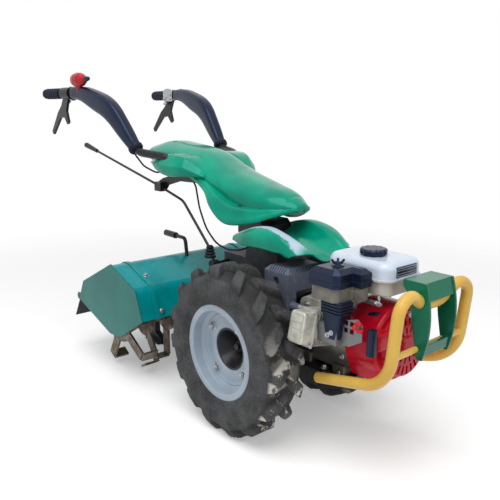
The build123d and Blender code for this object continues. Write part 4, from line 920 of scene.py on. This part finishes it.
HANDLE = (
    # x, distance from the middle, z, bend radius
    (-540, 182, 800, 0),
    (-680, 206, 946, 200),
    (-850, 225, 1004, 300),
    (-915, 231.4, 1004, 0),
)
COVER_START = 0.14
COVER = (
    # share of the cover's run, width, height
    (0, 36, 40),
    (0.10, 42, 50),
    (0.28, 46, 64),
    (0.42, 50, 72),
    (0.58, 50, 72),
    (0.74, 48, 62),
    (0.88, 44, 50),
    (1, 42, 42),
)
COVER_SQUARENESS = 3.4
COVER_RUN = 400
COVER_STEPS = 60
COVER_TURNS = 64
# Sections at the rounded ends: share of the cover's run, scale
COVER_ENDS = {0: 0.88, 0.004: 0.97, 0.996: 0.97, 1: 0.88}
WAY_REACH = 0.03


def bent_run(points, bends, steps=11):
    """Points along straight runs joined by bends of given radii, in the points' own units."""
    points = [np.array(p, float) for p in points]
    run = [points[0]]
    for before, corner, after, bend in zip(points, points[1:], points[2:], bends):
        back, ahead = before - corner, after - corner
        straightness = -back @ ahead / (np.linalg.norm(back) * np.linalg.norm(ahead))
        reach = bend * np.tan(np.arccos(np.clip(straightness, -1, 1)) / 2)
        run += corner_curve(before, corner, after, reach, steps, most=1)
    return np.array([*run, points[-1]])


def make_cover(name, hand):
    route = np.array([(x, hand * y, z) for x, y, z, _ in HANDLE])
    route[0] += (route[1] - route[0]) * COVER_START
    run = bent_run(route, [bend for *_, bend in HANDLE[1:-1]])
    along = np.concatenate(([0], np.cumsum(np.linalg.norm(np.diff(run, axis=0), axis=1))))
    along /= along[-1]

    def place_at(share):
        return np.array([np.interp(np.clip(share, 0, 1), along, column) for column in run.T])

    turns = np.linspace(0, tau, COVER_TURNS, endpoint=False)
    # A rounded square of half size 1, as pairs of across and up
    square = [np.sign(wave) * abs(wave) ** (2 / COVER_SQUARENESS) for wave in (np.cos(turns), np.sin(turns))]
    sizes = eased([(s * COVER_RUN, w, h) for s, w, h in COVER], 200)
    near, far = list(COVER_ENDS)[:2], list(COVER_ENDS)[2:]
    rows = []
    for share in np.concatenate((near, np.linspace(0.01, 0.99, COVER_STEPS), far)):
        way = Vector(place_at(share + WAY_REACH) - place_at(share - WAY_REACH)).normalized()
        across = way.cross(UP).normalized()
        up = across.cross(way)
        wide, tall = (np.interp(share * COVER_RUN, sizes[:, 0], sizes[:, k]) for k in (1, 2))
        scale = MM * COVER_ENDS.get(share, 1) / 2
        middle = at(*place_at(share))
        rows.append([middle + scale * (across * wide * u + up * tall * v) for u, v in zip(*square)])
    cover = Shape().grid(rows, False, True, True)
    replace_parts(cover.piece(f"moulded_cover_{name}", "black_plastic", "chassis", 55), f"handle_cover_{name}")


# Outlines turned about a handle are pairs of distance along and radius
COLLAR_SHARE = 0.1
COLLAR = ((-15, 13), (-13, 21), (-7, 25.5), (3, 26), (9, 23), (14, 20), (16, 15))
BARREL = ((0, 5), (3, 6.5), (12, 6.5), (14, 4.5), (26, 4.5), (28, 3))
BARRELS = (
    # x, distance from the middle, z, way
    (-980, 222, 976, (-1, 0, -0.35)),
    (-932, 224, 990, (1, 0, 0.08)),
)
CLAMP = (-962, 236, 1004)
STRAP = ((-34, -26), (34, -26), (34, 20), (12, 27), (-12, 27), (-34, 20))
STRAP_OFFSET = 20
STRAP_THICK = 4
STRAP_BOLTS = ((-22, -14), (22, -14))
STRAP_BOLT = 9
RIB = ((-3, 18.4), (-1.5, 20.4), (1.5, 20.4), (3, 18.4))
RIBS = 6
RIB_LEAD = 0.7
RIB_START = (-1010, 240.7, 1004)
RIB_RUN = (-104, 10.2)
GRIP_SPLAY = -0.098


def make_handle_fittings(name, hand):
    low, bend = np.array(HANDLE[0][:3]), np.array(HANDLE[1][:3])
    x, y, z = low * (1 - COLLAR_SHARE) + bend * COLLAR_SHARE
    way = bend - low
    collar = Shape()
    collar.turned(at(x, hand * y, z), (way[0], hand * way[1], way[2]), COLLAR, 40)
    collar.piece(f"tube_collar_{name}", "rubber", "chassis", 50)
    fittings = Shape()
    inboard = -hand * LEFT
    clamp = at(CLAMP[0], hand * CLAMP[1], CLAMP[2])
    strap = softened(STRAP, 8, 5)
    fittings.plate(clamp + inboard * STRAP_OFFSET * MM, FORWARD, hand * UP, strap, STRAP_THICK)
    bolt_base = clamp + inboard * (STRAP_OFFSET + STRAP_THICK) * MM
    for ahead, up in STRAP_BOLTS:
        fittings.bolt(bolt_base + Vector((ahead * MM, 0, up * hand * MM)), inboard, STRAP_BOLT)
    for x, y, z, barrel_way in BARRELS:
        fittings.turned(at(x, hand * y, z), barrel_way, BARREL, 20)
    fittings.piece(f"lever_clamp_{name}", "bright_steel", "chassis")
    ribs = Shape()
    for i in range(RIBS):
        share = (i + RIB_LEAD) / RIBS
        x, y = RIB_START[0] + share * RIB_RUN[0], RIB_START[1] + share * RIB_RUN[1]
        ribs.turned(at(x, hand * y, RIB_START[2]), (1, hand * GRIP_SPLAY, 0), RIB, 40)
    ribs.piece(f"grip_ribs_{name}", "rubber", "chassis", 50)


TIP_AT = (-806, -238, 1050)
TIP = ((0, 9), (6, 10), (18, 9), (30, 7), (36, 4))
PIVOT_AT = (-905, -238, 1050)
PIVOT = ((-4, 8), (2, 8), (6, 5))
PLUG_AT = (-880, 228, 1027)
PLUG = ((-2, 5), (1, 5), (1.6, 4))


def make_throttle_tip():
    tip = Shape()
    tip.turned(at(*TIP_AT), (1, 0, 0.06), TIP, 28)
    tip.turned(at(*PIVOT_AT), -FORWARD, PIVOT)
    tip.piece("throttle_tip", "black_plastic", "chassis", 50)


def make_cover_plug():
    plug = Shape()
    plug.turned(at(*PLUG_AT), UP, PLUG, 20)
    plug.piece("cover_plug", "rubber", "chassis", 50)


for side_name, side_hand in HANDS:
    make_cover(side_name, side_hand)
    make_handle_fittings(side_name, side_hand)

make_throttle_tip()
make_cover_plug()


# Engine: blank label and badge, wing nut, rocker cover panel, float bowl, choke levers, boot and bolts

LABEL_WIDE = 84
LABEL_TALL = 27
LABEL_FROM = (700, 0, 549)
LABEL_MARGIN = 6
LABEL_FIELD = 9


def frame_of_bars(shape, base, across, up, width, height, line, thick):
    """A thin rectangular border made of four bars."""
    for u, v, w, h in (
        (0, (height - line) / 2, width, line),
        (0, -(height - line) / 2, width, line),
        ((width - line) / 2, 0, line, height),
        (-(width - line) / 2, 0, line, height),
    ):
        bar = [(u - w / 2, v - h / 2), (u + w / 2, v - h / 2), (u + w / 2, v + h / 2), (u - w / 2, v + h / 2)]
        shape.plate(base, across, up, bar, thick, 0.1)


def make_tank_label():
    place, facing = on_surface("fuel_tank", at(*LABEL_FROM), -FORWARD)
    half, tall = LABEL_WIDE / 2, LABEL_TALL / 2
    sheet = softened(((-half, -tall), (half, -tall), (half, tall), (-half, tall)), 2)
    label = Shape()
    label.plate(place - facing * 2 * MM, LEFT, UP, sheet, 2.6, 0.2)
    label.piece("tank_label_blank", "black_plastic", "chassis")
    border = Shape()
    face = place + facing * 0.4 * MM
    wide = LABEL_WIDE - LABEL_MARGIN
    frame_of_bars(border, face, LEFT, UP, wide, LABEL_TALL - LABEL_MARGIN, 1.2, 0.5)
    frame_of_bars(border, face, LEFT, UP, wide, LABEL_FIELD, 0.9, 0.5)
    border.piece("tank_label_border", "tank_white", "chassis")


NUT_FROM = (334, -130, 700)
NUT_WASHER = ((-1, 17), (1.4, 17), (2.4, 15))
NUT_BOSS = ((2, 8), (9, 6.5), (11, 5))
NUT_STUD = ((9, 3), (19, 3), (20, 2.2))
NUT_EAR = ((4, 3), (10, 4), (17, 12), (18, 17), (14, 18), (8, 11), (4, 9))
EAR_WAY = Vector((0.62, 0.78, 0))
EAR_THICK = 3.2


def make_wing_nut():
    place, _ = on_surface("air_cleaner_cover", at(*NUT_FROM), -UP)
    nut = Shape()
    nut.turned(place, UP, NUT_WASHER, 36)
    nut.turned(place, UP, NUT_BOSS)
    nut.turned(place, UP, NUT_STUD, 16)
    for way in (-EAR_WAY, EAR_WAY):
        side = way.cross(UP)
        nut.plate(place - side * EAR_THICK / 2 * MM, way, UP, softened(NUT_EAR, 2.5), EAR_THICK)
    nut.piece("wing_nut", "black_plastic", "chassis")


CRANK = (274, 0, 356)
CYLINDER_LEAN = radians(12)
ROCKER_SEAT = 185.5
ROCKER_FACE = 219.4
ROCKER_BOLTS = ((-29.5, -45), (-29.5, 45), (29.5, -45), (29.5, 45))


def make_rocker_detail():
    axis = Vector((0, -cos(CYLINDER_LEAN), sin(CYLINDER_LEAN)))
    up = Vector((0, sin(CYLINDER_LEAN), cos(CYLINDER_LEAN)))
    bolts = Shape()
    seat = at(*CRANK) + axis * ROCKER_SEAT * MM
    for u, v in ROCKER_BOLTS:
        bolts.bolt(seat + (FORWARD * u + up * v) * MM, axis, 7)
    bolts.piece("rocker_bolts", "bright_steel", "chassis")
    panel = Shape()
    face = at(*CRANK) + axis * ROCKER_FACE * MM
    frame_of_bars(panel, face + up * 6 * MM, FORWARD, up, 36, 20, 2.4, 1.2)
    frame_of_bars(panel, face, FORWARD, up, 44, 70, 1.8, 0.8)
    panel.piece("rocker_cover_rib", "engine_casting", "chassis")


BADGE_FROM = (404, -400, 640)
BADGE_TOWARDS = (404, -66, 437)
BADGE_STEPS = 40


def make_shroud_badge():
    start = at(*BADGE_FROM)
    place, facing = on_surface("fan_shroud", start, at(*BADGE_TOWARDS) - start)
    up = facing.cross(FORWARD).normalized()
    turns = [tau * i / BADGE_STEPS for i in range(BADGE_STEPS)]
    slanted_oval = [(17 * cos(turn), 6.5 * sin(turn) + 4.5 * cos(turn)) for turn in turns]
    badge = Shape()
    badge.plate(place - facing * 0.8 * MM, FORWARD, up, slanted_oval, 2.6, 0.8)
    badge.piece("shroud_badge_blank", "black_plastic", "chassis")


ELBOW_BOLTS = ((353, -400, 397), (340, -400, 388))
BOWL_AT = (344, -144)
BOWL_RISE = 24
BOWL = ((-4, 24), (3, 24), (4, 20), (22, 19), (27, 15), (29, 8), (34, 7), (35, 5))
BAR_AT = (404, -82, 474)
BAR_UP = (0, -0.24, 0.97)
BAR_OUT = (0, -0.97, -0.24)
BAR = ((-36, -6), (30, -7), (38, 0), (30, 7), (-36, 6))
BAR_POSTS = (384, 424)
CHOKE_TABS = ((424, -151, 437), (430, -151, 420))
CHOKE_TAB = ((-7, -4), (9, -5), (12, 0), (9, 5), (-7, 4))
CHOKE_KNOB_AT = (420, -158, 428)
CHOKE_KNOB = ((0, 6), (5, 6.5), (7, 5))


def make_intake_detail():
    steel = Shape()
    for start in ELBOW_BOLTS:
        steel.bolt_on("intake_elbow", at(*start), LEFT, 9)
    base = at(*BOWL_AT, BOWL_RISE)
    base.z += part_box("carburettor")[0].z
    steel.turned(base, -UP, BOWL, 40)
    steel.plate(at(*BAR_AT), FORWARD, BAR_UP, softened(BAR, 5), 4)
    for x in BAR_POSTS:
        steel.turned(at(x, -76, 470), UP, ((0, 4), (22, 4)), 16)
        steel.bolt(at(x, -86, 475), BAR_OUT, 8)
    steel.piece("intake_fittings", "bright_steel", "chassis")
    levers = Shape()
    for place in CHOKE_TABS:
        levers.plate(at(*place), FORWARD, UP, softened(CHOKE_TAB, 3), 7)
    levers.turned(at(*CHOKE_KNOB_AT), (0.2, -1, 0), CHOKE_KNOB, 20)
    levers.piece("choke_levers", "red_plastic", "chassis")


BASE_BOLTS = ((262, -88, 290), (318, -88, 290), (262, 88, 290), (318, 88, 290))
CRANKCASE_BOLTS = ((188, -400, 300), (320, -400, 300), (188, -400, 412))
RECOIL_BOLTS = 3
RECOIL_CIRCLE = 80


def make_engine_bolts():
    bolts = Shape()
    for start in BASE_BOLTS:
        bolts.bolt_on("engine_base", at(*start), -UP, 13)
    for start in CRANKCASE_BOLTS:
        bolts.bolt_on("engine_crankcase", at(*start), LEFT, 10)
    bolts.piece("engine_bolts", "bright_steel", "chassis")
    bolts = Shape()
    for i in range(RECOIL_BOLTS):
        turn = tau / 4 + tau * i / RECOIL_BOLTS
        start = at(600, RECOIL_CIRCLE * cos(turn), CRANK[2] + RECOIL_CIRCLE * sin(turn))
        bolts.bolt_on("recoil_cover", start, -FORWARD, 8)
    bolts.piece("recoil_bolts", "bright_steel", "chassis")


BOOT_FOOT = (-245, -100, 470)
BOOT = ((0, 19), (6, 20), (10, 15), (15, 18), (20, 13), (25, 16), (30, 11), (35, 13), (40, 8))


def make_selector_boot():
    boot = Shape()
    boot.turned(at(*BOOT_FOOT), UP, BOOT, 36)
    boot.piece("selector_boot", "rubber", "chassis", 30)


make_selector_boot()
make_tank_label()
make_wing_nut()
make_rocker_detail()
make_shroud_badge()
make_intake_detail()
make_engine_bolts()


# Tiller: bolts along the hood's stiffening beads

BEAD_Y = 222
BEAD_TOPS = (-456, -620)
BEAD_FRONT_Z = 282
TILLER_BOLT = 12


def make_tiller_bolts():
    bolts = Shape()
    for hand in (-1, 1):
        for x in BEAD_TOPS:
            bolts.bolt_on("tiller_hood", at(x, hand * BEAD_Y, 700), -UP, TILLER_BOLT)
        bolts.bolt_on("tiller_hood", at(0, hand * BEAD_Y, BEAD_FRONT_Z), -FORWARD, TILLER_BOLT)
    bolts.piece("tiller_bolts", "bright_steel", "chassis")


make_tiller_bolts()


# Stage: pale floor that fades into a white surround, soft light and the camera

FLOOR_LIFT = 0.3
FLOOR_TONE = (0.9, 0.9, 0.9)
FLOOR_RADIUS = 7
FLOOR_STEPS = 96
FLOOR_FADE = (1.4, 3.2)
FLOOR_DROP = 0.0006
AMBIENT = 0.42


def seen_rays(maker):
    """1 for the rays that show the surround: straight to the camera, mirrored or through glass."""
    kinds = ("Is Camera Ray", "Is Glossy Ray", "Is Transmission Ray")
    camera_ray, glossy, through = (maker.node("ShaderNodeLightPath", out=kind) for kind in kinds)
    return camera_ray.math("MAXIMUM", glossy).math("MAXIMUM", through)


def make_floor():
    turns = [tau * i / FLOOR_STEPS for i in range(FLOOR_STEPS)]
    mesh = bpy.data.meshes.new("floor")
    mesh.from_pydata(
        [(FLOOR_RADIUS * cos(turn), FLOOR_RADIUS * sin(turn), 0) for turn in turns],
        [],
        [tuple(range(FLOOR_STEPS))],
    )
    floor = bpy.data.objects.new("floor", mesh)
    scene.collection.objects.link(floor)
    floor.location.z = -FLOOR_DROP
    f = Finish("pale_floor", Base_Color=FLOOR_TONE, Roughness=0.9, Specular_IOR_Level=0.0)
    f.feed(Emission_Strength=1, Emission_Color=f.mix((0, 0, 0), (FLOOR_LIFT,) * 3, seen_rays(f)))
    away = f.ramp(f.vector("LENGTH", f.place, out="Value"), *FLOOR_FADE)
    surface = Signal(f, f.shader.outputs[0])
    clear = f.node("ShaderNodeBsdfTransparent")
    fade = f.node("ShaderNodeMixShader", None, {0: away, 1: surface, 2: clear})
    f.plug(f.tree.nodes["Material Output"].inputs["Surface"], fade)
    mesh.materials.append(f.material)


def make_world():
    world = bpy.data.worlds.new("soft_white")
    world.use_nodes = True
    scene.world = world
    sky = NodeMaker(world.node_tree)
    background = sky.tree.nodes["Background"]
    level = sky.node("ShaderNodeMapRange", None, {"Value": seen_rays(sky), "To Min": AMBIENT})
    sky.plug(background.inputs["Color"], (1, 1, 1))
    sky.plug(background.inputs["Strength"], level)


def make_lamp(name, place, target, size, power):
    lamp = bpy.data.lights.new(name, "AREA")
    lamp.shape = "DISK"
    lamp.size = size
    lamp.energy = power
    holder = bpy.data.objects.new(name, lamp)
    scene.collection.objects.link(holder)
    holder.location = place
    holder.rotation_euler = (Vector(target) - Vector(place)).to_track_quat("-Z", "Y").to_euler()


make_floor()
make_world()
make_lamp("sky_panel", place=(1.0, -1.4, 3.6), target=(0, 0, 0.4), size=3.2, power=92)
make_lamp("front_panel", place=(3.2, -0.6, 1.8), target=(0.2, 0, 0.5), size=1.6, power=14)

CAMERA_FORWARD = 1.3051
CAMERA_RIGHT = -1.2407
CAMERA_HEIGHT = 0.9397
CAMERA_YAW = 2.439
CAMERA_PITCH = -0.228
FOCAL_PIXELS = 600.9
IMAGE_PIXELS = 500
camera_data = bpy.data.cameras.new("photo_view")
camera_data.sensor_width = 36
camera_data.lens = camera_data.sensor_width * FOCAL_PIXELS / IMAGE_PIXELS
camera = bpy.data.objects.new("photo_view", camera_data)
scene.collection.objects.link(camera)
camera.location = (AXLE.x + CAMERA_FORWARD, CAMERA_RIGHT, CAMERA_HEIGHT)
look = Vector((cos(CAMERA_PITCH) * cos(CAMERA_YAW), cos(CAMERA_PITCH) * sin(CAMERA_YAW), sin(CAMERA_PITCH)))
camera.rotation_euler = look.to_track_quat("-Z", "Y").to_euler()
scene.camera = camera
